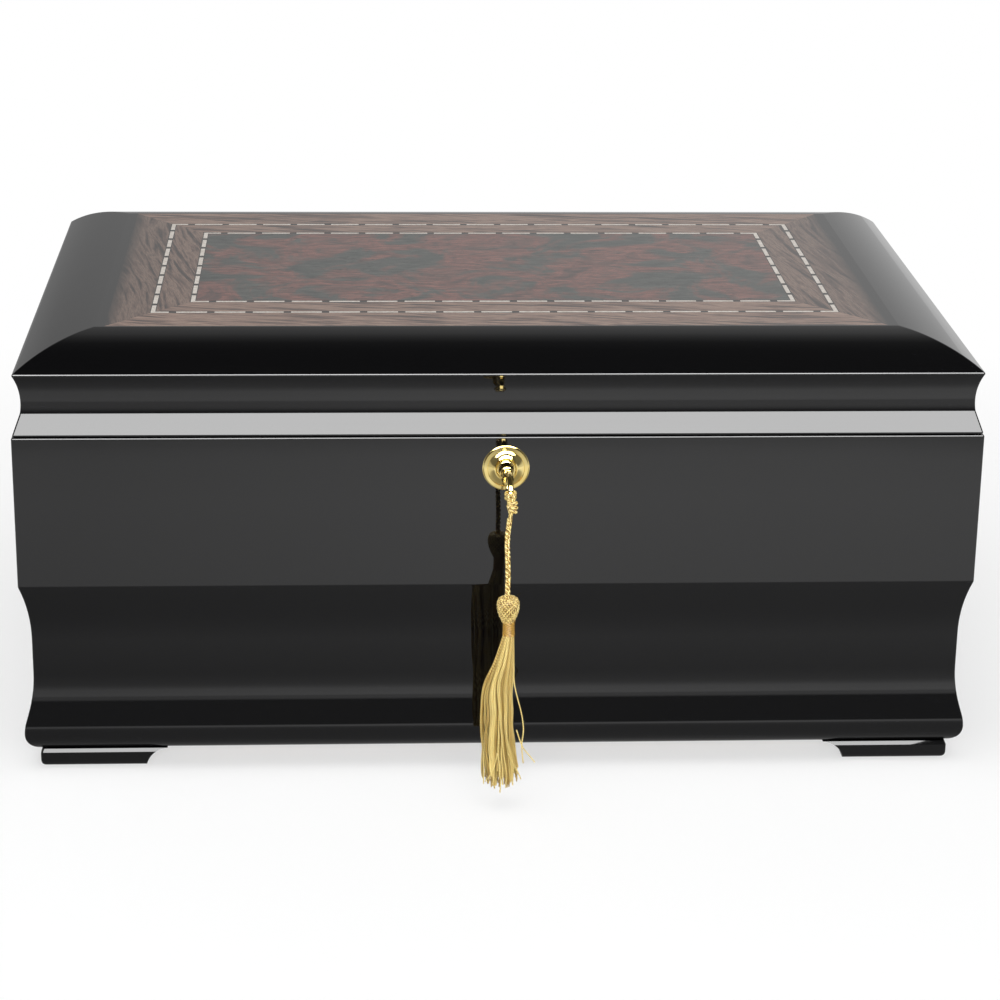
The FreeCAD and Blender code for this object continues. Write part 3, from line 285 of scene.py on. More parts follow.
def tubes(name, paths, radius, sides, tone=None):
    """One object from several tubes. ring and along say where on its thread each point is.

    tone says how pale the thread is. Unless it is given, the plies take three tones in turn.
    """
    verts = []
    faces = []
    ring = []
    along = []
    tones = []
    for number, path in enumerate(paths):
        v, f = tube_parts(path, radius, sides)
        faces += [tuple(i + len(verts) for i in face) for face in f]
        verts += v
        run = 0.0
        for i, p in enumerate(path):
            run += (p - path[i - 1]).length if i else 0.0
            for k in range(sides):
                a = 2 * math.pi * k / sides
                ring += [math.cos(a), math.sin(a), 0.0]
                along.append(run)
                tones.append(0.35 + 0.3 * (number % 3) if tone is None else tone)
    data = bpy.data.meshes.new(name)
    data.from_pydata([tuple(v) for v in verts], [], faces)
    data.attributes.new("ring", "FLOAT_VECTOR", "POINT").data.foreach_set("vector", ring)
    data.attributes.new("along", "FLOAT", "POINT").data.foreach_set("value", along)
    data.attributes.new("tone", "FLOAT", "POINT").data.foreach_set("value", tones)
    made = new_object(name, data)
    for face in data.polygons:
        face.use_smooth = True
    return made


def wound(line, offset, turns, start):
    """A ply: the line moved out by offset and carried round it."""
    across = None
    path = []
    for i, p in enumerate(line):
        along = (line[min(i + 1, len(line) - 1)] - line[max(i - 1, 0)]).normalized()
        if across is None:
            across = along.orthogonal().normalized()
        across = (across - along * across.dot(along)).normalized()
        a = start + 2 * math.pi * turns * i / (len(line) - 1)
        path.append(p + (across * math.cos(a) + along.cross(across) * math.sin(a)) * offset)
    return path


def resampled(line, step):
    """Points step apart along a line."""
    spots = [line[0].copy()]
    left = step
    for a, b in zip(line, line[1:]):
        run = (b - a).length
        done = 0.0
        while run - done >= left:
            done += left
            spots.append(a.lerp(b, done / run))
            left = step
        left -= run - done
    spots.append(line[-1].copy())
    return spots


print("tube helpers ready")

# %% [markdown]
# Helpers for materials
#
# Each finish is a small network of nodes. The colours are written as the hex values that a
# paint chart would give, so one function makes them linear, and one adds a node together
# with its settings and its links.

# %% Material helpers
def linear(code):
    """Linear colour from an sRGB hex value."""
    parts = [int(code[i:i + 2], 16) / 255 for i in (1, 3, 5)]
    return (*[c / 12.92 if c <= 0.04045 else ((c + 0.055) / 1.055) ** 2.4 for c in parts], 1.0)


def add(tree, kind, inputs=None, stops=None, curve=None, **settings):
    """Add a node. inputs holds values, outputs, or nodes whose first output is meant.

    stops are the colours of a ramp, and curve the points of a curve, each with its place.
    """
    made = tree.nodes.new(kind)
    for name, value in settings.items():
        setattr(made, name, value)
    for name, value in (inputs or {}).items():
        if isinstance(value, bpy.types.Node):
            value = value.outputs[0]
        if isinstance(value, bpy.types.NodeSocket):
            tree.links.new(value, made.inputs[name])
        else:
            made.inputs[name].default_value = value
    if stops:
        ramp = made.color_ramp
        ramp.elements.remove(ramp.elements[1])
        for i, (at, colour) in enumerate(stops):
            stop = ramp.elements[0] if i == 0 else ramp.elements.new(at)
            stop.position = at
            stop.color = linear(colour) if isinstance(colour, str) else (colour, colour, colour, 1.0)
    if curve:
        line = made.mapping.curves[0]
        line.points[0].location = curve[0]
        line.points[1].location = curve[-1]
        for spot in curve[1:-1]:
            line.points.new(*spot)
        made.mapping.update()
    return made


# Sockets of a Mix node that blends colours
MIX_A = 6
MIX_B = 7
MIX_OUT = 2


def new_material(name, **values):
    """A material and its principled shader. values are sockets set to one number or colour."""
    material = bpy.data.materials.new(name)
    material.use_nodes = True
    tree = material.node_tree
    shader = tree.nodes["Principled BSDF"]
    for socket, value in values.items():
        shader.inputs[socket.replace("_", " ")].default_value = value
    return material, tree, shader


print("material helpers ready")

# %% [markdown]
# Black polyester lacquer
#
# The outside is sprayed with black polyester, sanded flat and buffed to a mirror. It has
# almost no colour of its own, so what the eye sees is the room in it, with a faint
# waviness that the spray leaves and faint haze from the buffing wheel. A plain black with
# a low roughness would be too perfect: a long, weak bump and an uneven roughness break it.

# %% Lacquer
LACQUER_IOR = 1.55


def polyester_lacquer():
    material, tree, shader = new_material("black_polyester_lacquer", Base_Color=linear("#060607"),
                                          IOR=LACQUER_IOR)
    where = add(tree, "ShaderNodeTexCoord")
    haze = add(tree, "ShaderNodeTexNoise", {"Vector": where.outputs["Object"], "Scale": 35.0,
                                            "Detail": 4.0})
    rough = add(tree, "ShaderNodeMapRange", {"Value": haze.outputs["Fac"], "From Min": 0.3, "From Max": 0.8,
                                             "To Min": 0.018, "To Max": 0.05})
    tree.links.new(rough.outputs["Result"], shader.inputs["Roughness"])
    # Orange peel some 25 mm across, about 20 micrometres deep
    peel = add(tree, "ShaderNodeTexNoise", {"Vector": where.outputs["Object"], "Scale": 40.0,
                                            "Detail": 1.0})
    bump = add(tree, "ShaderNodeBump", {"Height": peel.outputs["Fac"], "Strength": 0.05,
                                        "Distance": 0.4 * MM})
    tree.links.new(bump.outputs["Normal"], shader.inputs["Normal"])
    return material


LACQUER = polyester_lacquer()
print("material:", LACQUER.name)

# %% [markdown]
# The lid's veneers
#
# Three woods lie in the flat top under a clear gloss lacquer. The lacquer is a coat over
# each of them, which also lays the room's reflection on the wood. The middle is burl: cut
# from a knotty growth, so its colour drifts between greenish brown and red, with short
# streaks and dark pips. Noise at several scales gives those, and it stays sharp where a
# picture would blur.

# %% Burl
def clear_coated(name):
    """Wood under clear lacquer: a coat that reflects sharply over a base that doesn't."""
    return new_material(name, Roughness=0.5, Specular_IOR_Level=0.0, Coat_Weight=1.0, Coat_Roughness=0.03,
                        Coat_IOR=LACQUER_IOR)


def burl_veneer():
    material, tree, shader = clear_coated("burl_veneer_under_lacquer")
    where = add(tree, "ShaderNodeTexCoord")
    # Clouds of colour 20 to 40 mm across, ragged at their edges
    clouds = add(tree, "ShaderNodeTexNoise", {"Vector": where.outputs["Object"], "Scale": 26.0,
                                              "Detail": 7.0, "Roughness": 0.62, "Distortion": 0.9})
    base = add(tree, "ShaderNodeValToRGB", {"Fac": clouds.outputs["Fac"]},
               stops=[(0.36, "#363D39"), (0.46, "#454743"), (0.51, "#63463F"), (0.58, "#794C43"),
                      (0.68, "#4A3632")])
    # Short streaks of figure, 12 mm long and 2.4 mm wide
    drawn = add(tree, "ShaderNodeMapping", {"Vector": where.outputs["Object"], "Scale": (85.0, 420.0, 1.0)})
    streaks = add(tree, "ShaderNodeTexNoise", {"Vector": drawn.outputs["Vector"], "Scale": 1.0,
                                               "Detail": 4.0, "Distortion": 1.2})
    streak = add(tree, "ShaderNodeMapRange", {"Value": streaks.outputs["Fac"], "From Min": 0.34,
                                              "From Max": 0.68, "To Min": 0.5, "To Max": 1.5})
    # Pips of the burl, 2 to 4 mm across, in loose clusters
    pips = add(tree, "ShaderNodeTexVoronoi", {"Vector": where.outputs["Object"], "Scale": 190.0,
                                              "Randomness": 1.0})
    pip = add(tree, "ShaderNodeMapRange", {"Value": pips.outputs["Distance"], "From Min": 0.08,
                                           "From Max": 0.3, "To Min": 0.35, "To Max": 1.0})
    cluster = add(tree, "ShaderNodeTexNoise", {"Vector": where.outputs["Object"], "Scale": 38.0,
                                               "Detail": 2.0})
    where_pips = add(tree, "ShaderNodeMapRange", {"Value": cluster.outputs["Fac"], "From Min": 0.48,
                                                  "From Max": 0.62})
    pip_shade = add(tree, "ShaderNodeMix", {"Factor": where_pips.outputs["Result"], "A": 1.0,
                                            "B": pip.outputs["Result"]}, data_type="FLOAT")
    shade = add(tree, "ShaderNodeMath", {0: streak.outputs["Result"], 1: pip_shade.outputs["Result"]},
                operation="MULTIPLY")
    toned = add(tree, "ShaderNodeMix", {"Factor": 1.0, MIX_A: base.outputs["Color"],
                                        MIX_B: shade.outputs["Value"]},
                data_type="RGBA", blend_type="MULTIPLY")
    tree.links.new(toned.outputs[MIX_OUT], shader.inputs["Base Color"])
    return material


BURL = burl_veneer()
print("material:", BURL.name)

# %% [markdown]
# Two borders of rosewood run round the burl. Their grain is drawn out along each strip and
# slants a little. A noise stretched along the strip's own map does that, so the grain turns
# at the mitres as the strips do.

# %% Rosewood
def rosewood_veneer(name, light, middle, dark):
    """Rosewood whose grain follows the strip's UV map, with u along the strip in metres."""
    material, tree, shader = clear_coated(name)
    strip = add(tree, "ShaderNodeUVMap", uv_map="strip")
    # The grain leans about 8 degrees from the strip's edge and wanders
    lean = add(tree, "ShaderNodeMapping", {"Vector": strip.outputs["UV"], "Rotation": (0.0, 0.0, 0.14)})
    wander = add(tree, "ShaderNodeTexNoise", {"Vector": lean.outputs["Vector"], "Scale": 9.0,
                                              "Detail": 1.0})
    bend = add(tree, "ShaderNodeVectorMath", {0: wander.outputs["Color"], 1: (0.0, 0.02, 0.0)},
               operation="MULTIPLY")
    bent = add(tree, "ShaderNodeVectorMath", {0: lean.outputs["Vector"], 1: bend.outputs["Vector"]},
               operation="ADD")
    # Growth bands 5 mm apart, drawn out to 60 mm along the strip
    drawn = add(tree, "ShaderNodeMapping", {"Vector": bent.outputs["Vector"], "Scale": (16.0, 210.0, 1.0)})
    bands = add(tree, "ShaderNodeTexNoise", {"Vector": drawn.outputs["Vector"], "Scale": 1.0, "Detail": 3.0,
                                             "Roughness": 0.6, "Distortion": 0.5})
    colour = add(tree, "ShaderNodeValToRGB", {"Fac": bands.outputs["Fac"]},
                 stops=[(0.36, dark), (0.43, middle), (0.5, light), (0.57, middle), (0.65, dark)])
    # Pores: dark flecks 6 mm long and 0.4 mm wide, coarser than real ones so that they show
    fleck_map = add(tree, "ShaderNodeMapping", {"Vector": bent.outputs["Vector"],
                                                "Scale": (160.0, 2400.0, 1.0)})
    flecks = add(tree, "ShaderNodeTexNoise", {"Vector": fleck_map.outputs["Vector"], "Scale": 1.0,
                                              "Detail": 2.0})
    fleck = add(tree, "ShaderNodeMapRange", {"Value": flecks.outputs["Fac"], "From Min": 0.3,
                                             "From Max": 0.55, "To Min": 0.5, "To Max": 1.08})
    # Painted shade darkens the short strips, and the spray of black lacquer fades in over the outer edge of
    # some strips
    painted_shade_and_spray_fade = add(tree, "ShaderNodeAttribute", attribute_name="shade")
    shade = add(tree, "ShaderNodeMath", {0: fleck.outputs["Result"], 1: painted_shade_and_spray_fade.outputs["Fac"]},
                operation="MULTIPLY")
    toned = add(tree, "ShaderNodeMix", {"Factor": 1.0, MIX_A: colour.outputs["Color"],
                                        MIX_B: shade.outputs["Value"]},
                data_type="RGBA", blend_type="MULTIPLY")
    tree.links.new(toned.outputs[MIX_OUT], shader.inputs["Base Color"])
    return material


ROSEWOOD = rosewood_veneer("rosewood_veneer_under_lacquer", "#A08474", "#836659", "#3E2D27")
print("material:", ROSEWOOD.name)

# %% [markdown]
# The strings are pale holly dashes let into wood that is dyed black. Both are plain woods
# with a fine grain, so one function makes them and only the colours and the scale differ.

# %% Stringing
def stringing(name, grain_scale, grain_detail, dark, light):
    """Plain wood with fine grain, for the lines and dashes of a string."""
    material, tree, shader = clear_coated(name)
    where = add(tree, "ShaderNodeTexCoord")
    grain = add(tree, "ShaderNodeTexNoise", {"Vector": where.outputs["Object"], "Scale": grain_scale,
                                             "Detail": grain_detail})
    tone = add(tree, "ShaderNodeValToRGB", {"Fac": grain.outputs["Fac"]}, stops=[(0.3, dark), (0.7, light)])
    tree.links.new(tone.outputs["Color"], shader.inputs["Base Color"])
    return material


HOLLY = stringing("holly_stringing", 600.0, 2.0, "#CFC4B8", "#EFE8DF")
EBONISED = stringing("ebonised_stringing", 900.0, 2.0, "#15110F", "#2A221E")
print("materials:", HOLLY.name, EBONISED.name)

# %% [markdown]
# Mouldings
#
# The case and the lid are framed from four lengths of moulding each, mitred at the corners.
# Their outline could be drawn as a curve and swept, but a swept curve doesn't scale itself
# at a mitre. So the outline is a list of insets from the box's edge and heights, and each
# point runs along its side until it meets the mitre, where a tiny radius eases the corner.

# %% The outlines
OVERHANG = 1.2
CASE_BOTTOM = 10.0
RIM_Z = 172.0
LID_Z = 172.4
LID_EDGE_Z = 202.4
LID_TOP_Z = 216.0
ARC_STEP = math.radians(2.5)
CORNER_EASE = 0.7 * MM
LIP_R = 10.0
BULGE = (-0.37, 25.8)
FLARE_TOP = (0.88, 30.1)
WAIST = 3.75
BASE_TOP = 18.0
LID_FLARE_TOP = (3.05, 183.0)


def arc(start, end, radius):
    """Points after start up to end. A positive radius bulges outwards on the way up."""
    if not radius:
        return [end]
    a = Vector(start)
    b = Vector(end)
    chord = b - a
    left = Vector((-chord.y, chord.x)).normalized()
    depth = math.sqrt(radius ** 2 - (chord.length / 2) ** 2)
    centre = (a + b) / 2 - left * math.copysign(depth, radius)
    first = math.atan2(a.y - centre.y, a.x - centre.x)
    sweep = math.atan2(b.y - centre.y, b.x - centre.x) - first
    sweep = (sweep + math.pi) % (2 * math.pi) - math.pi
    steps = max(2, math.ceil(abs(sweep) / ARC_STEP))
    size = abs(radius)
    return [(centre.x + size * math.cos(first + sweep * i / steps),
             centre.y + size * math.sin(first + sweep * i / steps)) for i in range(1, steps + 1)]


def outline(path):
    """Closed outline. Each item is an inset, a height and the radius of the edge that leads to it."""
    spots = []
    for i, (inset, z, radius) in enumerate(path):
        before = path[i - 1]
        spots += arc((before[0], before[1]), (inset, z), radius)
    return spots


def eased(spots, corner, reach, steps=7):
    """The outline with one corner rounded from reach before it to reach after it."""
    index = min(range(len(spots)), key=lambda i: (Vector(spots[i]) - Vector(corner)).length)
    turned = spots[index:] + spots[:index]
    middle = Vector(turned[0])
    ends = []
    for walk in (turned[1:], turned[:0:-1]):
        here = middle
        used = 0
        for spot in walk:
            spot = Vector(spot)
            if (spot - middle).length >= reach:
                break
            here = spot
            used += 1
        spot = Vector(walk[used])
        run = spot - here
        ends.append((here + run * ((reach - (here - middle).length) / run.length), used))
    (after, used_after), (before, used_before) = ends
    kept = turned[1 + used_after:len(turned) - used_before]
    curve = []
    for i in range(steps + 1):
        t = i / steps
        curve.append(tuple(before * (1 - t) ** 2 + middle * (2 * t * (1 - t)) + after * t ** 2))
    return kept + curve


CASE_OUTLINE = outline([
    (15.0, CASE_BOTTOM, 0),
    (LIP_R - OVERHANG, CASE_BOTTOM, 0),
    (-OVERHANG, CASE_BOTTOM + LIP_R, LIP_R),
    (*BULGE, 20.6),
    (*FLARE_TOP, 0),
    (WAIST, 50.0, -70.5),
    (WAIST, 67.7, 0),
    (-OVERHANG, 97.0, -86.7),
    (-OVERHANG, RIM_Z, 0),
    (19.0, RIM_Z, 0),
    (19.0, BASE_TOP, 0),
    (15.0, BASE_TOP, 0),
])
CASE_OUTLINE = eased(CASE_OUTLINE, (-OVERHANG, RIM_Z), 0.9)
CASE_OUTLINE = eased(CASE_OUTLINE, (-OVERHANG, 97.0), 0.6, 3)
LID_OUTLINE = outline([
    (36.0, 203.0, 0),
    (18.2, 203.0, 0),
    (18.2, LID_Z, 0),
    (-0.9, LID_Z, 0),
    (*LID_FLARE_TOP, 0),
    (0.0, LID_EDGE_Z, -32.0),
    (36.0, LID_TOP_Z, 65.7),
])
LID_OUTLINE = eased(LID_OUTLINE, (-0.9, LID_Z), 1.2)
LID_OUTLINE = eased(LID_OUTLINE, LID_FLARE_TOP, 0.5, 5)
LID_OUTLINE = eased(LID_OUTLINE, (0.0, LID_EDGE_Z), 0.8)
print("outline points: case", len(CASE_OUTLINE), "lid", len(LID_OUTLINE))

# %% [markdown]
# Each length of moulding is cut to 45 degrees at both ends. Its faces run between copies
# of the outline, one at each station along the side, with the stations of a mitre close
# together so that the corner is eased.

# %% Sweep an outline along one side
QUARTER_TURNS = {"front": 0, "right": 1, "back": 2, "left": 3}
EASE_ANGLES = [math.radians(a) for a in (45.0, 30.0, 15.0, 0.0)]


def side_stations(half_along, half_out, inset):
    """Places in plan of one outline point, from one mitre to the other."""
    out = -(half_out - inset) + CORNER_EASE
    end = half_along - inset - CORNER_EASE
    left = [(-end - CORNER_EASE * math.sin(a), out - CORNER_EASE * math.cos(a)) for a in EASE_ANGLES]
    return left + [(-x, y) for x, y in reversed(left)]


def ring_faces(rings, count):
    """Faces between rings of count points each, with the first and the last ring closed."""
    faces = []
    for s in range(rings - 1):
        for i in range(count):
            n = (i + 1) % count
            faces.append((s * count + i, s * count + n, (s + 1) * count + n, (s + 1) * count + i))
    faces.append(tuple(range(count)))
    faces.append(tuple((rings - 1) * count + i for i in range(count)))
    return faces


def moulding(name, spots, side):
    """Mitred length of moulding on one side of the box."""
    turns = QUARTER_TURNS[side]
    halves = (HALF_W, HALF_D) if turns % 2 == 0 else (HALF_D, HALF_W)
    columns = [side_stations(*halves, inset * MM) for inset, _ in spots]
    stations = len(columns[0])
    count = len(spots)
    points = []
    for s in range(stations):
        for column, (_, z) in zip(columns, spots):
            x, y = column[s]
            for _ in range(turns):
                x, y = -y, x
            points.append((x, y, z * MM))
    return new_mesh(name, points, ring_faces(stations, count))


def cut(made, cutters):
    """Cut the cutters out of a piece and remove them."""
    for cutter in cutters:
        step = made.modifiers.new("cut", "BOOLEAN")
        step.operation = "DIFFERENCE"
        step.solver = "EXACT"
        step.object = cutter
    result = plain(made)
    for cutter in cutters:
        bpy.data.objects.remove(cutter)
    return result


def rod(name, radius, start, end, sides=48):
    """Cylinder between two points."""
    verts, faces = tube_parts([Vector(start), Vector(end)], radius, sides)
    return new_mesh(name, verts, faces)


def grown(low, high, by=0.0):
    """Box cutter from two corners in millimetres, grown by a little."""
    return box_mesh("cutter", [(v - by) * MM for v in low], [(v + by) * MM for v in high])


print("moulding helpers ready")

# %% [markdown]
# The lock is let into the front wall from above, and the hinges into the back wall and the
# back rail. Those seats are seen when the lid is open, so they are cut out of the swept
# mouldings, a hair larger than the metal that fills them.

# %% Walls and rails
LOCK_POCKET = ((-22.2, -146.2, 141.8), (26.2, -137.4, 175.0))
SELVEDGE_SEAT = ((-30.0, -147.0, 170.5), (34.0, -136.6, 175.0))
STRIKE_SEAT = ((-21.0, -147.0, 168.0), (25.0, -136.6, 173.9))
HINGE_X = 140.0
HINGE_HALF = 25.0
BARREL = (154.2, 172.2)
BARREL_ROOM = 3.5
SEAT_GAP = 0.03
KEY_BORE_R = 4.7 * MM
KEY_BORE_Y = (-160.0 * MM, -140.0 * MM)
# Depth range and height range of each hinge seat, in millimetres
CASE_LEAF_SEAT = ((138.0, 158.0), (170.0, 175.0))
CASE_FLANGE_SEAT = ((151.0, 158.0), (160.0, 175.0))
LID_LEAF_SEAT = ((138.0, 151.9), (168.0, 174.4))


def barrel_room(side):
    start = Vector((side * HINGE_X - HINGE_HALF - 2, BARREL[0], BARREL[1])) * MM
    return rod("cutter", BARREL_ROOM * MM, start, start + Vector((2 * HINGE_HALF + 4, 0, 0)) * MM)


def hinge_seat(side, y_range, z_range):
    low = (side * HINGE_X - HINGE_HALF, y_range[0], z_range[0])
    high = (side * HINGE_X + HINGE_HALF, y_range[1], z_range[1])
    return grown(low, high, SEAT_GAP)


def case_cutters(side):
    if side == "front":
        bore = rod("cutter", KEY_BORE_R, *[(LOCK_X, y, KEY_Z) for y in KEY_BORE_Y])
        return [grown(*LOCK_POCKET), grown(*SELVEDGE_SEAT, SEAT_GAP), bore]
    if side == "back":
        seats = [hinge_seat(s, *CASE_LEAF_SEAT) for s in (-1, 1)]
        flanges = [hinge_seat(s, *CASE_FLANGE_SEAT) for s in (-1, 1)]
        return seats + flanges + [barrel_room(s) for s in (-1, 1)]
    return []


def lid_cutters(side):
    if side == "front":
        return [grown(*STRIKE_SEAT, SEAT_GAP)]
    if side == "back":
        seats = [hinge_seat(s, *LID_LEAF_SEAT) for s in (-1, 1)]
        return seats + [barrel_room(s) for s in (-1, 1)]
    return []


for side in QUARTER_TURNS:
    for group, spots, body, cutters in (("case_{}_wall", CASE_OUTLINE, "case", case_cutters(side)),
                                        ("lid_{}_rail", LID_OUTLINE, "lid", lid_cutters(side))):
        node_name = group.format(side)
        bar = moulding("lacquered_" + node_name, spots, side)
        if cutters:
            bar = cut(bar, cutters)
        smooth(bar, 30)
        even = bar.modifiers.new("even normals", "WEIGHTED_NORMAL")
        even.keep_sharp = True
        bar = plain(bar)
        place(bar, body, "black_lacquer", LACQUER, node_name)
        print(bar.name, len(bar.data.polygons), "faces")

# %% [markdown]
# Feet
#
# Each foot is an L of lacquered wood with a scalloped end on each leg, rounded along the
# floor and chamfered where it meets the case. It is swept like a moulding, but round one
# corner, from the end of one leg to the end of the other, and the scallops are cut out.

# %% Feet
SIDE_INSET = 5.6
FRONT_INSET = 3.6
FOOT_LENGTH = 62.0
FOOT_WIDTH = 34.0
FOOT_LOW = 0.8
FOOT_ROUND = 3.6
FOOT_CHAMFER = (0.85, 2.0)
SCALLOP_R = 10.4
SCALLOP_REACH = (-10.0 * MM, 100.0 * MM)
FOOT_EASE = 1.0 * MM


def foot_outline():
    """Distances in from the foot's own outer face, and heights."""
    chamfer_in, chamfer_down = FOOT_CHAMFER
    spots = outline([(FOOT_WIDTH, CASE_BOTTOM, 0), (FOOT_WIDTH, FOOT_LOW, 0), (0.0, FOOT_LOW, 0),
                     (0.0, CASE_BOTTOM - chamfer_down, 0), (chamfer_in, CASE_BOTTOM, 0)])
    spots = eased(spots, (0.0, FOOT_LOW), FOOT_ROUND, 9)
    return eased(spots, (0.0, CASE_BOTTOM - chamfer_down), 0.3, 3)


def foot(name, sign_x, sign_y):
    spots = foot_outline()
    end_x = -HALF_W + (SIDE_INSET + FOOT_LENGTH) * MM
    end_y = -HALF_D + (FRONT_INSET + FOOT_LENGTH) * MM
    columns = []
    for inset, _ in spots:
        x = -HALF_W + (SIDE_INSET + inset) * MM
        y = -HALF_D + (FRONT_INSET + inset) * MM
        bend = [(x + FOOT_EASE * (1 - math.sin(a)), y + FOOT_EASE * (1 - math.cos(a)))
                for a in (math.radians(v) for v in range(0, 91, 15))]
        columns.append([(end_x, y)] + bend + [(x, end_y)])
    count = len(spots)
    stations = len(columns[0])
    points = [(sign_x * column[s][0], sign_y * column[s][1], z * MM)
              for s in range(stations) for column, (_, z) in zip(columns, spots)]
    made = new_mesh(name, points, ring_faces(stations, count))
    centre_z = (CASE_BOTTOM - SCALLOP_R) * MM
    near, far = SCALLOP_REACH
    along_y = rod("cutter", SCALLOP_R * MM, (sign_x * end_x, sign_y * (-HALF_D + near), centre_z),
                  (sign_x * end_x, sign_y * (-HALF_D + far), centre_z), 96)
    along_x = rod("cutter", SCALLOP_R * MM, (sign_x * (-HALF_W + near), sign_y * end_y, centre_z),
                  (sign_x * (-HALF_W + far), sign_y * end_y, centre_z), 96)
    return smooth(cut(made, [along_y, along_x]), 30)


for end, sign_y in (("front", 1), ("back", -1)):
    for side, sign_x in (("left", 1), ("right", -1)):
        node_name = f"foot_{end}_{side}"
        place(foot("lacquered_" + node_name, sign_x, sign_y), "case", "black_lacquer", LACQUER, node_name)
print("feet: 4")

# %% [markdown]
# Rows and rings
#
# What repeats is made by two small Geometry Nodes trees: one sets copies of a shape in a
# row, the other sets them round an axis. Both end in Realize Instances and Set Material,
# and the result is turned into a plain mesh.

# %% Geometry Nodes trees
def new_tree(name, inputs):
    """An empty tree with a geometry in and out, and the named inputs."""
    tree = bpy.data.node_groups.new(name, "GeometryNodeTree")
    tree.interface.new_socket("Geometry", in_out="INPUT", socket_type="NodeSocketGeometry")
    for title, kind in inputs:
        tree.interface.new_socket(title, in_out="INPUT", socket_type=kind)
    tree.interface.new_socket("Geometry", in_out="OUTPUT", socket_type="NodeSocketGeometry")
    given = tree.nodes.new("NodeGroupInput").outputs
    result = tree.nodes.new("NodeGroupOutput").inputs
    return tree, given, result


def finish_tree(tree, given, result, geometry):
    whole = add(tree, "GeometryNodeRealizeInstances", {"Geometry": geometry})
    faced = add(tree, "GeometryNodeSetMaterial", {"Geometry": whole.outputs["Geometry"],
                                                  "Material": given["Material"]})
    tree.links.new(faced.outputs["Geometry"], result["Geometry"])
    return tree


def row_tree():
    tree, given, result = new_tree("row_of_copies", [
        ("Count", "NodeSocketInt"), ("Start", "NodeSocketVector"), ("Step", "NodeSocketVector"),
        ("Material", "NodeSocketMaterial")])
    line = add(tree, "GeometryNodeMeshLine", {"Count": given["Count"], "Start Location": given["Start"],
                                              "Offset": given["Step"]})
    copies = add(tree, "GeometryNodeInstanceOnPoints", {"Points": line.outputs["Mesh"],
                                                        "Instance": given["Geometry"]})
    return finish_tree(tree, given, result, copies.outputs["Instances"])


def ring_tree():
    tree, given, result = new_tree("ring_of_copies", [
        ("Count", "NodeSocketInt"), ("Centre", "NodeSocketVector"), ("First angle", "NodeSocketFloat"),
        ("Angle step", "NodeSocketFloat"), ("Material", "NodeSocketMaterial")])
    spots = add(tree, "GeometryNodePoints", {"Count": given["Count"], "Position": given["Centre"]})
    index = add(tree, "GeometryNodeInputIndex")
    turn = add(tree, "ShaderNodeMath", {0: index.outputs["Index"], 1: given["Angle step"],
                                        2: given["First angle"]}, operation="MULTIPLY_ADD")
    spin = add(tree, "ShaderNodeCombineXYZ", {"Z": turn.outputs["Value"]})
    copies = add(tree, "GeometryNodeInstanceOnPoints", {"Points": spots.outputs["Points"],
                                                        "Instance": given["Geometry"],
                                                        "Rotation": spin.outputs["Vector"]})
    return finish_tree(tree, given, result, copies.outputs["Instances"])


ROW = row_tree()
RING = ring_tree()


def grow(source, tree, name, **values):
    """Run a tree on an object, and return the result as a plain mesh."""
    step = source.modifiers.new("nodes", "NODES")
    step.node_group = tree
    for socket in tree.interface.items_tree:
        if socket.in_out == "INPUT" and socket.name.replace(" ", "_") in values:
            step[socket.identifier] = values[socket.name.replace(" ", "_")]
    return plain(source, name)


print("trees:", ROW.name, RING.name)

# %% [markdown]
# The inlay
#
# Veneers and strings are one millimetre thick and lie flush in the lid's top. The dashes of
# each string stand about 18.7 mm apart on all four sides and meet in a solid corner. One
# dash is modelled, and the row tree repeats it; the corners are pairs of short bars.

# %% Strings
INLAY_Z = (215.0, 216.0)
EBONY_TOP = 215.97
DASH_Z = (215.4, 216.0)
STRING_W = 3.0
EDGE_LINE = 0.45
GAP = 3.6


# How far along and across the veneer each strip is cut from the one before it
VENEER_STEP = (900.0, 310.0)


def frame_mesh(name, outer, inner, z_range):
    """Four mitred strips between two rectangles, with a UV map on which each strip is cut from its own part
    of the veneer.
    """
    corners = [(-1, -1), (1, -1), (1, 1), (-1, 1)]
    points = []
    faces = []
    uvs = []
    for k in range(4):
        a = corners[k]
        b = corners[(k + 1) % 4]
        plan = [(a[0] * outer[0], a[1] * outer[1]), (b[0] * outer[0], b[1] * outer[1]),
                (b[0] * inner[0], b[1] * inner[1]), (a[0] * inner[0], a[1] * inner[1])]
        base = len(points)
        points += [(x * MM, y * MM, z * MM) for z in z_range for x, y in plan]
        faces += [(base + 3, base + 2, base + 1, base), (base + 4, base + 5, base + 6, base + 7)]
        faces += [(base + i, base + (i + 1) % 4, base + 4 + (i + 1) % 4, base + 4 + i) for i in range(4)]
        flat = [(x, y) if k % 2 == 0 else (y, x) for x, y in plan]
        uvs += [((x + VENEER_STEP[0] * k) * MM, (y + VENEER_STEP[1] * k) * MM) for x, y in flat] * 2
    data = bpy.data.meshes.new(name)
    data.from_pydata(points, [], faces)
    layer = data.uv_layers.new(name="strip")
    for loop in data.loops:
        layer.data[loop.index].uv = uvs[loop.vertex_index]
    return new_object(name, data)


def dash_row(length, width, count, start, step):
    """Row of dashes. length runs along X and width along Y, in millimetres."""
    half = (length / 2, width / 2)
    thick = (DASH_Z[1] - DASH_Z[0]) * MM
    dash = box_mesh("dash", (-half[0] * MM, -half[1] * MM, 0), (half[0] * MM, half[1] * MM, thick))
    return grow(dash, ROW, "dashes", Count=count, Start=[v * MM for v in start],
                Step=[v * MM for v in step], Material=HOLLY)


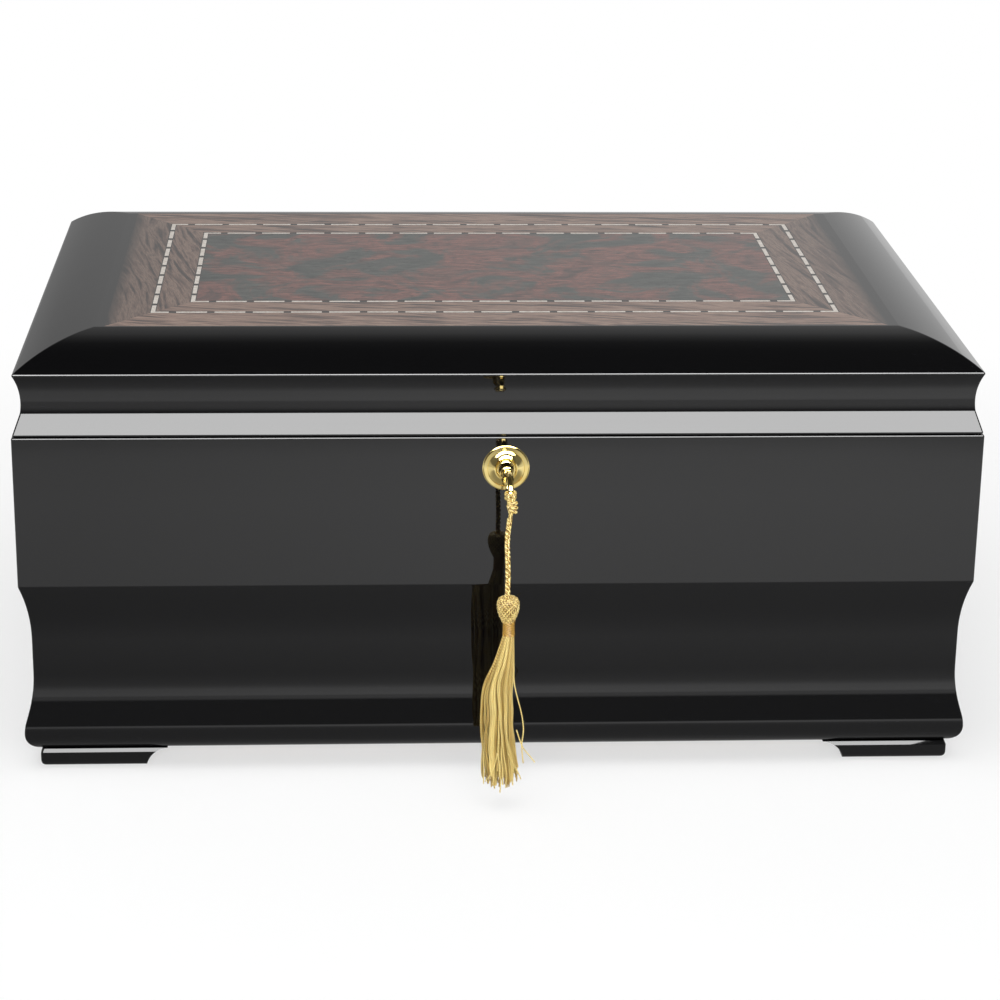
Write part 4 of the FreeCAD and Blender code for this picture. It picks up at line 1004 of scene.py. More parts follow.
def string_side(half_along, half_out, pitch, count, turned):
    """Dashes of the two opposite sides of a string, with the gaps evenly spread."""
    rows = []
    middle = half_out - STRING_W / 2
    width = STRING_W - 2 * EDGE_LINE
    first = -pitch * (count - 1) / 2
    for sign in (-1, 1):
        length = pitch - GAP
        sizes = (width, length) if turned else (length, width)
        start = (sign * middle, first, DASH_Z[0]) if turned else (first, sign * middle, DASH_Z[0])
        step = (0, pitch, 0) if turned else (pitch, 0, 0)
        rows.append(dash_row(*sizes, count, start, step))
    return rows


def corner_bars(half, long_reach, short_reach):
    """Solid corners: a bar along X and a bar along Y at each corner."""
    bars = []
    low, high = DASH_Z
    for sx in (-1, 1):
        for sy in (-1, 1):
            x = sorted(sx * (half[0] - v) for v in (EDGE_LINE, long_reach))
            y = sorted(sy * (half[1] - v) for v in (EDGE_LINE, STRING_W - EDGE_LINE))
            bars.append(grown((x[0], y[0], low), (x[1], y[1], high)))
            x = sorted(sx * (half[0] - v) for v in (EDGE_LINE, STRING_W - EDGE_LINE))
            y = sorted(sy * (half[1] - v) for v in (STRING_W - EDGE_LINE, short_reach))
            bars.append(grown((x[0], y[0], low), (x[1], y[1], high)))
    return bars


def dashed_string(name, half, long_side, short_side):
    """long_side and short_side give the number of whole dashes and their pitch."""
    parts = string_side(half[0], half[1], long_side[1], long_side[0], False)
    parts += string_side(half[1], half[0], short_side[1], short_side[0], True)
    reaches = [h - pitch * count / 2 - GAP / 2
               for h, (count, pitch) in ((half[0], long_side), (half[1], short_side))]
    parts += corner_bars(half, *reaches)
    dashes = joined(name + "_holly_dashes", parts)
    place(dashes, "lid", "dashed_string", HOLLY)
    bed = frame_mesh(name + "_black_lines", half, (half[0] - STRING_W, half[1] - STRING_W),
                     (INLAY_Z[0], EBONY_TOP))
    place(bed, "lid", "dashed_string", EBONISED, name)
    print(name, "corner reaches in mm:", [round(r, 1) for r in reaches])


OUTER_STRING = (169.1, 90.8)
INNER_STRING = (150.7, 71.2)
dashed_string("outer_string", OUTER_STRING, (17, 18.6), (8, 18.8))
dashed_string("inner_string", INNER_STRING, (15, 18.6), (6, 18.8))

# %% [markdown]
# The rosewood strips lie between the strings and meet in mitres. On the short sides the grain runs away from
# the eye, and there the wood is darkened with painted shade. The outer strips also fade to black at their
# outer edge. That is a value stored on the corners of the faces, and the strips are cut a few times so that
# it can change over a short distance.

# %% Veneers
BORDER = (189.0, 114.0)
INNER_BORDER = (OUTER_STRING[0] - STRING_W, OUTER_STRING[1] - STRING_W)
# Where the strips are cut, as shares of their width from outside
CUT_AT = (0.12, 0.3, 0.55)
# Tone at the outer edge of a strip that fades, and how fast it rises over the width
FADE_LOW = 0.12
FADE_RISE = 2.6


def border(name, node_name, outer, inner, short_side_painted_shade, fades):
    """Rosewood strips. Those on the short sides are darkened with painted shade and may fade to black
    outside.
    """
    strips = frame_mesh(name, outer, inner, INLAY_Z)
    shape = bmesh.new()
    shape.from_mesh(strips.data)
    reach = outer[0] - inner[0]
    for share in CUT_AT:
        at = (outer[0] - reach * share) * MM
        for sign in (-1, 1):
            bmesh.ops.bisect_plane(shape, geom=shape.verts[:] + shape.edges[:] + shape.faces[:],
                                   plane_co=(sign * at, 0, 0), plane_no=(sign, 0, 0))
    shape.to_mesh(strips.data)
    shape.free()
    shade = strips.data.attributes.new("shade", "FLOAT", "CORNER")
    for face in strips.data.polygons:
        x, y, _ = face.center
        on_short = abs(x) / MM - outer[0] + outer[1] > abs(y) / MM
        for loop in face.loop_indices:
            spot = strips.data.vertices[strips.data.loops[loop].vertex_index].co
            depth = (outer[0] - abs(spot.x) / MM) / reach
            fade = min(1.0, FADE_LOW + depth * FADE_RISE) if fades else 1.0
            # Short strips take painted shade, times the fade of the black spray
            shade.data[loop].value = short_side_painted_shade * fade if on_short else 1.0
    return place(strips, "lid", "rosewood_veneer", ROSEWOOD, node_name)


border("rosewood_outer_strips", "rosewood_outer_border", BORDER, OUTER_STRING, 0.55, True)
border("rosewood_inner_strips", "rosewood_inner_border", INNER_BORDER, INNER_STRING, 0.66, False)
print("veneers done")

# %% [markdown]
# Gold thread
#
# The tassel is spun rayon: smooth, shiny filament twisted into threads. Its colour is painted with light and
# dark bands where the plies turn under: painted shade in the grooves and painted highlight on the crests. No
# two threads are equally pale. Each tube carries how far along it a point is and the direction round it, so
# the bands are worked out from those two and follow every thread through its bends. A third value, its tone,
# makes the thread paler or darker and shifts its bands against its neighbour's.

# %% Gold thread
# How far a thread's tone shifts its bands, in radians, and how much paler it makes them
TONE_SHIFT = 20.0
TONE_SPREAD = 0.42
PATCHINESS = 0.15


def twisted_thread(name, dark, middle, light, band_mm, plies):
    """Spun thread. band_mm is how far apart its bands of painted shade and highlight lie along it."""
    material, tree, shader = new_material(name, Roughness=0.3, IOR=1.5)
    ring = add(tree, "ShaderNodeAttribute", attribute_name="ring")
    along = add(tree, "ShaderNodeAttribute", attribute_name="along")
    tone = add(tree, "ShaderNodeAttribute", attribute_name="tone")
    split = add(tree, "ShaderNodeSeparateXYZ", {"Vector": ring.outputs["Vector"]})
    angle = add(tree, "ShaderNodeMath", {0: split.outputs["Y"], 1: split.outputs["X"]}, operation="ARCTAN2")
    turned = add(tree, "ShaderNodeMath", {0: angle.outputs["Value"], 1: float(plies)}, operation="MULTIPLY")
    started = add(tree, "ShaderNodeMath", {0: tone.outputs["Fac"], 1: TONE_SHIFT,
                                           2: turned.outputs["Value"]}, operation="MULTIPLY_ADD")
    phase = add(tree, "ShaderNodeMath", {0: along.outputs["Fac"], 1: 2 * math.pi / (band_mm * MM),
                                         2: started.outputs["Value"]}, operation="MULTIPLY_ADD")
    wave = add(tree, "ShaderNodeMath", {0: phase.outputs["Value"]}, operation="SINE")
    where = add(tree, "ShaderNodeTexCoord")
    patchy = add(tree, "ShaderNodeTexNoise", {"Vector": where.outputs["Object"], "Scale": 260.0,
                                              "Detail": 2.0})
    # The wave is painted into the colour as painted shade in the grooves and painted highlight on the
    # crests; it drives the bump too
    height = add(tree, "ShaderNodeMapRange", {"Value": wave.outputs["Value"], "From Min": -1.0,
                                              "From Max": 1.0, "To Min": 0.0, "To Max": 0.5})
    mixed = add(tree, "ShaderNodeMath", {0: patchy.outputs["Fac"], 1: PATCHINESS,
                                         2: height.outputs["Result"]}, operation="MULTIPLY_ADD")
    toned = add(tree, "ShaderNodeMath", {0: tone.outputs["Fac"], 1: TONE_SPREAD,
                                         2: mixed.outputs["Value"]}, operation="MULTIPLY_ADD")
    colour = add(tree, "ShaderNodeValToRGB", {"Fac": toned.outputs["Value"]},
                 stops=[(0.2, dark), (0.5, middle), (0.84, light)])
    bump = add(tree, "ShaderNodeBump", {"Height": height.outputs["Result"], "Strength": 0.6,
                                        "Distance": 0.2 * MM})
    tree.links.new(colour.outputs["Color"], shader.inputs["Base Color"])
    tree.links.new(bump.outputs["Normal"], shader.inputs["Normal"])
    return material


# Bands finer than a millimetre would not show, so they are drawn 1.4 and 2.5 mm apart
# The darkest stop is painted shade between the plies and the palest a painted highlight
GOLD = twisted_thread("gold_rayon_thread", "#301C02", "#B98B28", "#FFF1A6", 1.4, 2)
GOLD_WINDING = twisted_thread("gold_rayon_winding", "#6A4812", "#BC8C2C", "#EFCB70", 2.5, 1)
print("materials:", GOLD.name, GOLD_WINDING.name)

# %% [markdown]
# The key tassel
#
# From the top: a loop of cord is hitched through the key's bow and knotted. A plaited cord
# hangs from the knot and ends in a round head that is netted over, a collar of thread wound
# round and round, and a skirt. The skirt is some two hundred loose threads in locks that
# lean to the left, as when it has just been laid straight.

# %% Cord and knot
TASSEL_Y = -196.2 * MM
PLAIT_STEP = 6.4 * MM
PLAIT_REACH = (0.72 * MM, 0.42 * MM)
FINE_STEP = 0.3 * MM
CORD_PLY_R = 0.58 * MM
KNOT_PLY_R = 0.46 * MM


def plaited(line, third):
    """One of three plies of a plait along a line that hangs down."""
    path = []
    run = 0.0
    for i, p in enumerate(line):
        if i:
            run += (p - line[i - 1]).length
        a = 2 * math.pi * (run / PLAIT_STEP + third / 3)
        path.append(p + Vector((PLAIT_REACH[0] * math.sin(a), PLAIT_REACH[1] * math.sin(2 * a), 0)))
    return path


fine_line = resampled(cord_line, FINE_STEP)
cord = tubes("tassel_plaited_cord", [plaited(fine_line, k) for k in range(3)], CORD_PLY_R, 8)
place(cord, "tassel", "gold_thread", GOLD, "tassel_cord")


def knot_wraps(centre, radius, top, bottom, turns):
    """Cord wrapped round itself, tilted a little each way, as in an overhand knot."""
    path = []
    steps = int(turns * 24)
    for i in range(steps + 1):
        t = i / steps
        a = 2 * math.pi * turns * t + 0.8
        swell = 1.0 - 0.28 * abs(2 * t - 0.9)
        tilt = 0.5 * MM * math.cos(a) * math.cos(3 * t)
        path.append(Vector((centre[0] + radius * swell * math.cos(a),
                            centre[1] + radius * swell * math.sin(a),
                            top + (bottom - top) * t + tilt)))
    return path


knot_centre = (LOCK_X + 0.7 * MM, TASSEL_Y)
knot_path = knot_wraps(knot_centre, 1.85 * MM, 155.6 * MM, 149.6 * MM, 3.3)
knot_end = knot_path[-1]
knot_path += [knot_end + Vector((0.2, -0.3, -0.7)) * MM, knot_end + Vector((0.6, -0.4, -1.5)) * MM]


def three_plies(line, offset, turns):
    return [wound(line, offset, turns, 2 * math.pi * k / 3) for k in range(3)]


knot_parts = three_plies(resampled(knot_path, FINE_STEP), 0.52 * MM, 14)

# The cord itself, where it runs down through the wraps
core = [Vector((LOCK_X + x * MM, TASSEL_Y, z * MM)) for x, z in
        ((0.3, 156.4), (0.6, 153.0), (0.1, 149.5), (-0.4, 146.4))]
knot_parts += three_plies(resampled(core, FINE_STEP), 0.55 * MM, 3)

# The two strands that rise from the knot to the bow
for side in (-1, 1):
    strand = [Vector((LOCK_X + side * x * MM, TASSEL_Y + y * MM, z * MM)) for x, y, z in
              ((0.9, 0.1, 153.6), (1.25, -0.3, 155.6), (1.35, -0.2, 157.2), (1.2, 0.7, 158.3))]
    knot_parts += three_plies(resampled(spline_points(strand), 0.25 * MM), 0.36 * MM, 4)
knot = tubes("tassel_tied_knot", knot_parts, KNOT_PLY_R, 7)
place(knot, "tassel_knot", "gold_thread", GOLD, "tassel_knot")
print("knot faces:", len(knot.data.polygons))

# %% [markdown]
# The hitch is the cord's loop round the bow of the key. A plain ring would look stamped, so
# two turns of plied cord are drawn round the rim of the bow, one above the other.

# %% Hitch round the bow of the key
HITCH_Y = -191.9 * MM
HITCH_HALF = (2.15 * MM, 2.75 * MM)
HITCH_APART = 0.85 * MM
HITCH_TILT = 0.25 * MM
HITCH_PLY_R = 0.44 * MM
hitch_parts = []
for level in (-1, 1):
    loop = []
    for i in range(33):
        a = 2 * math.pi * i / 32
        # Powers under 1 make the loop squarish, as the rim that it goes round
        x = HITCH_HALF[0] * math.copysign(abs(math.sin(a)) ** 0.7, math.sin(a))
        y = HITCH_Y - HITCH_HALF[1] * math.copysign(abs(math.cos(a)) ** 0.8, math.cos(a))
        z = KEY_Z + level * HITCH_APART + HITCH_TILT * math.sin(a)
        loop.append(Vector((LOCK_X + x, y, z)))
    hitch_parts += three_plies(resampled(loop, FINE_STEP), 0.36 * MM, 7)
hitch = tubes("tassel_cord_hitch", hitch_parts, HITCH_PLY_R, 7)
place(hitch, "key", "gold_thread", GOLD, "tassel_hitch")
print("hitch faces:", len(hitch.data.polygons))

# %% [markdown]
# The head is a round core under a net of thread. Threads run round it to the left and to
# the right by turns, and each rises and dips a little where they cross. The core is made
# too, since the net's gaps would show that it is empty.

# %% Netted head
HEAD_X = 1.4 * MM
NET_THREADS = 18
NET_STEPS = 44
NET_TURN = 1.15 * math.pi
NET_LIFT = 0.16 * MM
NET_R = 0.32 * MM
CORE_RINGS = 23
CORE_SIDES = 32
HEAD_PROFILE = [(1.3, 105.6), (2.2, 106.9), (3.3, 107.45), (4.3, 106.8), (4.95, 105.2), (5.1, 103.6),
                (4.9, 101.6), (4.3, 99.4), (3.5, 97.5), (2.8, 96.1), (2.5, 95.3)]


def profile_at(t):
    """Radius and height of the head's outline, t from the top, in metres."""
    spot = min(len(HEAD_PROFILE) - 2, int(t * (len(HEAD_PROFILE) - 1)))
    part = t * (len(HEAD_PROFILE) - 1) - spot
    a = HEAD_PROFILE[spot]
    b = HEAD_PROFILE[spot + 1]
    return (a[0] + (b[0] - a[0]) * part) * MM, (a[1] + (b[1] - a[1]) * part) * MM


def net_line(start, way):
    """A thread of the net, which runs round the head and passes over and under the others."""
    path = []
    for i in range(NET_STEPS + 1):
        r, z = profile_at(i / NET_STEPS)
        a = start + way * NET_TURN * i / NET_STEPS
        r += NET_LIFT * math.sin(i * math.pi / 2)
        path.append(Vector((HEAD_X + r * math.cos(a), TASSEL_Y + r * math.sin(a) * 0.96, z)))
    return path


net = [net_line(2 * math.pi * k / NET_THREADS, way) for k in range(NET_THREADS) for way in (-1, 1)]
core_points = []
for i in range(CORE_RINGS):
    r, z = profile_at(i / (CORE_RINGS - 1))
    for k in range(CORE_SIDES):
        a = 2 * math.pi * k / CORE_SIDES
        core_points.append((HEAD_X + 0.95 * r * math.cos(a), TASSEL_Y + 0.92 * r * math.sin(a), z))
core_faces = ring_faces(CORE_RINGS, CORE_SIDES)
head_core = smooth(new_mesh("head_core", core_points, core_faces), 80)
head_net = tubes("head_net", net, NET_R, 6)
head = joined("tassel_netted_head", [head_core, head_net])
place(head, "tassel", "gold_thread", GOLD, "tassel_head")
print("head faces:", len(head.data.polygons))

# %% [markdown]
# The collar is one thread wound round the top of the skirt, turn against turn. Rings would
# do as well, but a single helix round a solid core is what the winding really is. It is a
# little wider at both ends.

# %% Wound collar
COLLAR_X = 1.8 * MM
COLLAR_R = 2.62
COLLAR_FLARE = 0.22
COLLAR_TOP = 95.8
COLLAR_TALL = 6.9
WINDING_TURNS = 19
WINDING_SIDES = 28
WINDING_R = 0.23 * MM
winding_steps = WINDING_TURNS * WINDING_SIDES
winding = []
for i in range(winding_steps + 1):
    a = 2 * math.pi * i / WINDING_SIDES
    t = i / winding_steps
    r = (COLLAR_R + COLLAR_FLARE * (2 * t - 1) ** 4) * MM
    z = (COLLAR_TOP - COLLAR_TALL * t) * MM
    winding.append(Vector((COLLAR_X + r * math.cos(a), TASSEL_Y + r * math.sin(a), z)))
core_top = (COLLAR_X, TASSEL_Y, 96.0 * MM)
core_bottom = (COLLAR_X, TASSEL_Y, 88.6 * MM)
inside = rod("collar_core", 2.5 * MM, core_top, core_bottom, WINDING_SIDES)
collar = joined("tassel_wound_collar", [inside, tubes("winding", [winding], WINDING_R, 6)])
place(collar, "tassel", "gold_thread", GOLD_WINDING, "tassel_collar")
print("collar faces:", len(collar.data.polygons))

# %% [markdown]
# The skirt's threads are grown by Geometry Nodes. Each starts as a straight line, and is
# carried to its place by three curves down the skirt: where its middle is, how wide it is
# and how deep. Threads are gathered in locks, and a noise field moves neighbours together,
# so gaps open between locks rather than between single threads.

# %% Skirt tree
SKIRT_TOP = 88.8
SKIRT_LOW = 12.0
# Ovals that the threads pass through: height, offset in X, half width and half depth
SKIRT_OVALS = [(88.8, -0.2, 2.8, 2.8), (75.6, -2.2, 5.4, 4.0), (61.9, -4.8, 7.9, 5.2),
               (49.0, -4.6, 8.9, 5.8), (37.0, -4.2, 9.7, 6.2), (24.0, -3.2, 10.4, 6.6),
               (12.0, -2.8, 9.6, 6.8)]
# A curve node holds values from 0 to 1, so millimetres are divided by this on the way in
SKIRT_SCALE = 20.0
# Added to the offsets, which may not be negative in a curve node
SKIRT_SHIFT = 10.0
GOLDEN_ANGLE = 2.39996
LOCK_SPREAD = 0.84
SWAY = 9.8 * MM
# Height of the lowest thread ends, how far others end above them by chance, and how much
# higher they end at the sides
SKIRT_END = 10.5 * MM
RAGGED = 9.5 * MM
SIDE_RISE = 7.0 * MM


def down_the_skirt(column, shift=0.0):
    """One column of the table as a curve, from the top of the skirt to its lower end."""
    tall = SKIRT_TOP - SKIRT_LOW
    return [((SKIRT_TOP - row[0]) / tall, (row[column] + shift) / SKIRT_SCALE) for row in SKIRT_OVALS]


def lock_roots(tree, given):
    """Where each thread starts in a disc of radius 1, and how pale it is.

    Locks are spread over the disc by the golden angle. Threads are scattered in their lock.
    """
    index = add(tree, "GeometryNodeInputIndex")
    lock = add(tree, "ShaderNodeMath", {0: index, 1: given["Locks"]}, operation="MODULO")
    share = add(tree, "ShaderNodeMath", {0: lock, 1: 0.5}, operation="ADD")
    share = add(tree, "ShaderNodeMath", {0: share, 1: given["Locks"]}, operation="DIVIDE")
    reach = add(tree, "ShaderNodeMath", {0: share}, operation="SQRT")
    reach = add(tree, "ShaderNodeMath", {0: reach, 1: LOCK_SPREAD}, operation="MULTIPLY")
    turn = add(tree, "ShaderNodeMath", {0: lock, 1: GOLDEN_ANGLE}, operation="MULTIPLY")
    # Four random values with their lowest, their highest and what they are drawn for
    draws = []
    for k, (low, high, number) in enumerate(((0.0, 2 * math.pi, index), (0.02, 0.12, index),
                                             (0.0, 1.0, index), (0.0, 0.8, lock))):
        seed = add(tree, "ShaderNodeMath", {0: given["Seed"], 1: float(k)}, operation="ADD")
        draw = add(tree, "FunctionNodeRandomValue", {2: low, 3: high, 7: number, 8: seed},
                   data_type="FLOAT")
        draws.append(draw.outputs[1])
    own_turn, own_reach, chance, lock_tone = draws
    parts = []
    for way in ("COSINE", "SINE"):
        from_middle = add(tree, "ShaderNodeMath", {0: turn}, operation=way)
        from_lock = add(tree, "ShaderNodeMath", {0: own_turn}, operation=way)
        from_lock = add(tree, "ShaderNodeMath", {0: from_lock, 1: own_reach}, operation="MULTIPLY")
        parts.append(add(tree, "ShaderNodeMath", {0: from_middle, 1: reach, 2: from_lock},
                         operation="MULTIPLY_ADD"))
    root = add(tree, "ShaderNodeCombineXYZ", {"X": parts[0], "Y": parts[1], "Z": chance})
    tone = add(tree, "ShaderNodeMath", {0: chance, 1: 0.5, 2: lock_tone}, operation="MULTIPLY_ADD")
    return root, tone


def hung_place(tree):
    """Where each point of each thread goes: down its way through the ovals, with a sway."""
    factor = add(tree, "GeometryNodeSplineParameter").outputs["Factor"]
    root = add(tree, "GeometryNodeInputNamedAttribute", {"Name": "root"}, data_type="FLOAT_VECTOR")
    split = add(tree, "ShaderNodeSeparateXYZ", {"Vector": root.outputs["Attribute"]}).outputs
    higher = add(tree, "ShaderNodeMath", {0: split["X"], 1: split["X"]}, operation="MULTIPLY")
    higher = add(tree, "ShaderNodeMath", {0: higher, 1: SIDE_RISE}, operation="MULTIPLY")
    higher = add(tree, "ShaderNodeMath", {0: higher, 1: SKIRT_END}, operation="ADD")
    end = add(tree, "ShaderNodeMath", {0: split["Z"], 1: RAGGED, 2: higher}, operation="MULTIPLY_ADD")
    fall = add(tree, "ShaderNodeMath", {0: end, 1: SKIRT_TOP * MM}, operation="SUBTRACT")
    z = add(tree, "ShaderNodeMath", {0: factor, 1: fall, 2: SKIRT_TOP * MM}, operation="MULTIPLY_ADD")
    down = add(tree, "ShaderNodeMath", {0: SKIRT_TOP * MM, 1: z}, operation="SUBTRACT")
    down = add(tree, "ShaderNodeMath", {0: down, 1: (SKIRT_TOP - SKIRT_LOW) * MM}, operation="DIVIDE")
    middle = add(tree, "ShaderNodeFloatCurve", {"Value": down}, curve=down_the_skirt(1, SKIRT_SHIFT))
    size = SKIRT_SCALE * MM
    # Neighbours sway together, because the noise is read at their roots
    field = {}
    for axis, value, scale in (("X", split["X"], 1.6), ("Y", split["Y"], 1.6), ("Z", z, 38.0)):
        field[axis] = add(tree, "ShaderNodeMath", {0: value, 1: scale}, operation="MULTIPLY")
    field = add(tree, "ShaderNodeCombineXYZ", field)
    noise = add(tree, "ShaderNodeTexNoise", {"Vector": field, "Scale": 1.0, "Detail": 1.0})
    sway = add(tree, "ShaderNodeSeparateXYZ", {"Vector": noise.outputs["Color"]})
    strength = add(tree, "ShaderNodeMath", {0: down, 1: SWAY}, operation="MULTIPLY")
    start_x = add(tree, "ShaderNodeMath", {0: middle, 1: size, 2: LOCK_X - SKIRT_SHIFT * MM},
                  operation="MULTIPLY_ADD")
    spot = {"Z": z}
    for axis, column, start in (("X", 2, start_x), ("Y", 3, TASSEL_Y)):
        half = add(tree, "ShaderNodeFloatCurve", {"Value": down}, curve=down_the_skirt(column))
        half = add(tree, "ShaderNodeMath", {0: half, 1: size}, operation="MULTIPLY")
        drift = add(tree, "ShaderNodeMath", {0: sway.outputs[axis], 1: 0.5}, operation="SUBTRACT")
        drift = add(tree, "ShaderNodeMath", {0: drift, 1: strength}, operation="MULTIPLY")
        out = add(tree, "ShaderNodeMath", {0: half, 1: split[axis], 2: drift}, operation="MULTIPLY_ADD")
        spot[axis] = add(tree, "ShaderNodeMath", {0: start, 1: out}, operation="ADD")
    return add(tree, "ShaderNodeCombineXYZ", spot)


def skirt_tree():
    tree, given, result = new_tree("tassel_skirt", [
        ("Threads", "NodeSocketInt"), ("Locks", "NodeSocketInt"), ("Thread radius", "NodeSocketFloat"),
        ("Seed", "NodeSocketInt"), ("Material", "NodeSocketMaterial")])
    root, thread_tone = lock_roots(tree, given)
    roots = add(tree, "GeometryNodePoints", {"Count": given["Threads"]})
    kept = add(tree, "GeometryNodeStoreNamedAttribute", {
        "Geometry": roots.outputs["Points"], "Name": "root",
        "Value": root.outputs["Vector"]}, data_type="FLOAT_VECTOR", domain="POINT")
    tone = add(tree, "GeometryNodeStoreNamedAttribute", {
        "Geometry": kept.outputs["Geometry"], "Name": "tone",
        "Value": thread_tone}, data_type="FLOAT", domain="POINT")
    line = add(tree, "GeometryNodeCurvePrimitiveLine")
    fine = add(tree, "GeometryNodeResampleCurve", {"Curve": line.outputs["Curve"], "Count": 46},
               mode="COUNT")
    copies = add(tree, "GeometryNodeInstanceOnPoints", {"Points": tone.outputs["Geometry"],
                                                        "Instance": fine.outputs["Curve"]})
    threads = add(tree, "GeometryNodeRealizeInstances", {"Geometry": copies.outputs["Instances"]})
    hung = add(tree, "GeometryNodeSetPosition", {"Geometry": threads.outputs["Geometry"],
                                                 "Position": hung_place(tree)})
    length = add(tree, "GeometryNodeSplineParameter").outputs["Length"]
    marked = add(tree, "GeometryNodeStoreNamedAttribute", {"Geometry": hung.outputs["Geometry"],
                                                           "Name": "along", "Value": length},
                 data_type="FLOAT", domain="POINT")
    ring = add(tree, "GeometryNodeCurvePrimitiveCircle", {"Resolution": 5, "Radius": 1.0})
    round_it = add(tree, "GeometryNodeInputPosition")
    told = add(tree, "GeometryNodeStoreNamedAttribute", {
        "Geometry": ring.outputs["Curve"], "Name": "ring",
        "Value": round_it.outputs["Position"]}, data_type="FLOAT_VECTOR", domain="POINT")
    sizes = add(tree, "ShaderNodeCombineXYZ", {axis: given["Thread radius"] for axis in "XYZ"})
    thin = add(tree, "GeometryNodeTransform", {"Geometry": told.outputs["Geometry"],
                                               "Scale": sizes.outputs["Vector"]})
    spun = add(tree, "GeometryNodeCurveToMesh", {"Curve": marked.outputs["Geometry"],
                                                 "Profile Curve": thin.outputs["Geometry"],
                                                 "Fill Caps": True})
    soft = add(tree, "GeometryNodeSetShadeSmooth", {"Geometry": spun.outputs["Mesh"]})
    return finish_tree(tree, given, result, soft.outputs["Geometry"])


skirt_source = new_mesh("skirt_source", [(0, 0, 0)], [])
threads = grow(skirt_source, skirt_tree(), "skirt_threads", Threads=210, Locks=42,
               Thread_radius=0.32 * MM, Seed=7, Material=GOLD)
print("skirt faces:", len(threads.data.polygons))

# %% [markdown]
# A few threads have slipped out of the skirt and hang apart from it. They are drawn one by
# one, since a random draw would not put them where they hang.

# %% Stray threads
STRAY_R = 0.3 * MM
# Where each thread runs: X and height. Each starts inside the skirt.
STRAYS = [
    [(4.3, 74.0), (4.2, 70.0), (4.6, 65.0), (6.4, 57.5), (8.2, 51.0), (9.1, 45.0), (9.3, 41.0),
     (8.7, 36.8), (8.4, 32.6), (9.4, 25.0)],
    [(6.0, 42.0), (8.5, 33.2), (11.8, 29.5), (14.8, 25.3)],
    [(-3.0, 30.0), (-4.4, 21.8), (-6.6, 18.2), (-8.5, 15.5)],
    [(-9.0, 40.0), (-9.4, 23.1), (-9.2, 13.2)],
    [(2.0, 30.0), (6.4, 22.0), (8.4, 16.5)],
    [(-1.6, 26.0), (-1.0, 18.0), (-1.5, 9.6)],
]
stray_paths = []
for k, stray in enumerate(STRAYS):
    # They hang in front of the cord's line, and the fourth is nearest to it
    deep = -4.6 * MM if k != 3 else -2.0 * MM
    route = spline_points([Vector((x * MM, TASSEL_Y + deep, z * MM)) for x, z in stray])
    stray_paths.append(resampled(route, 1.0 * MM))
strays = tubes("stray_threads", stray_paths, STRAY_R, 6, tone=0.9)
strays.data.materials.append(GOLD)
skirt = joined("tassel_skirt_of_threads", [threads, strays])
place(skirt, "tassel", "gold_thread", GOLD, "tassel_skirt")

print("tassel done")

# %% [markdown]
# Metals
#
# The escutcheon, key, hinges and lock are polished brass: pale yellow, with a mirror finish
# that fine buffing lines blur. Screws are plainer, and the steel parts are zinc plated,
# which leaves a cooler and rougher face.

# %% Metals
def metal(name, colour, shade, rough):
    """Polished metal whose tone and gloss vary a little over a few millimetres."""
    material, tree, shader = new_material(name, Metallic=1.0)
    where = add(tree, "ShaderNodeTexCoord")
    patches = add(tree, "ShaderNodeTexNoise", {"Vector": where.outputs["Object"], "Scale": 120.0,
                                               "Detail": 3.0})
    tone = add(tree, "ShaderNodeValToRGB", {"Fac": patches.outputs["Fac"]},
               stops=[(0.35, shade), (0.6, colour)])
    gloss = add(tree, "ShaderNodeMapRange", {"Value": patches.outputs["Fac"], "From Min": 0.3,
                                             "From Max": 0.7, "To Min": rough * 0.8, "To Max": rough * 1.5})
    # Buffing marks half a millimetre apart, coarser than real ones so that they show close up
    lines = add(tree, "ShaderNodeTexNoise", {"Vector": where.outputs["Object"], "Scale": 2200.0,
                                             "Detail": 2.0})
    bump = add(tree, "ShaderNodeBump", {"Height": lines.outputs["Fac"], "Strength": 0.25,
                                        "Distance": 0.004 * MM})
    tree.links.new(tone.outputs["Color"], shader.inputs["Base Color"])
    tree.links.new(gloss.outputs["Result"], shader.inputs["Roughness"])
    tree.links.new(bump.outputs["Normal"], shader.inputs["Normal"])
    return material


BRASS = metal("polished_brass", "#F3DE96", "#E4C878", 0.08)
BRASS_SCREW = metal("brass_screw", "#D9B46A", "#C49C50", 0.24)
STEEL = metal("zinc_plated_steel", "#B9BBBD", "#A3A5A8", 0.28)
NICKEL = metal("nickel_plated_magnet", "#C9C6BF", "#BAB6AE", 0.16)
print("materials:", BRASS.name, BRASS_SCREW.name, STEEL.name, NICKEL.name)

# %% [markdown]
# Spanish cedar and boards
#
# Humidors are lined with unfinished Spanish cedar, a soft, pinkish brown wood with straight
# grain, fine dark pores and a dull surface. The grain has to run along each board, so the
# material takes a distance from the middle beyond which the grain runs front to back. That
# lets one rule serve boards of either direction and the frame of strips in the lid.

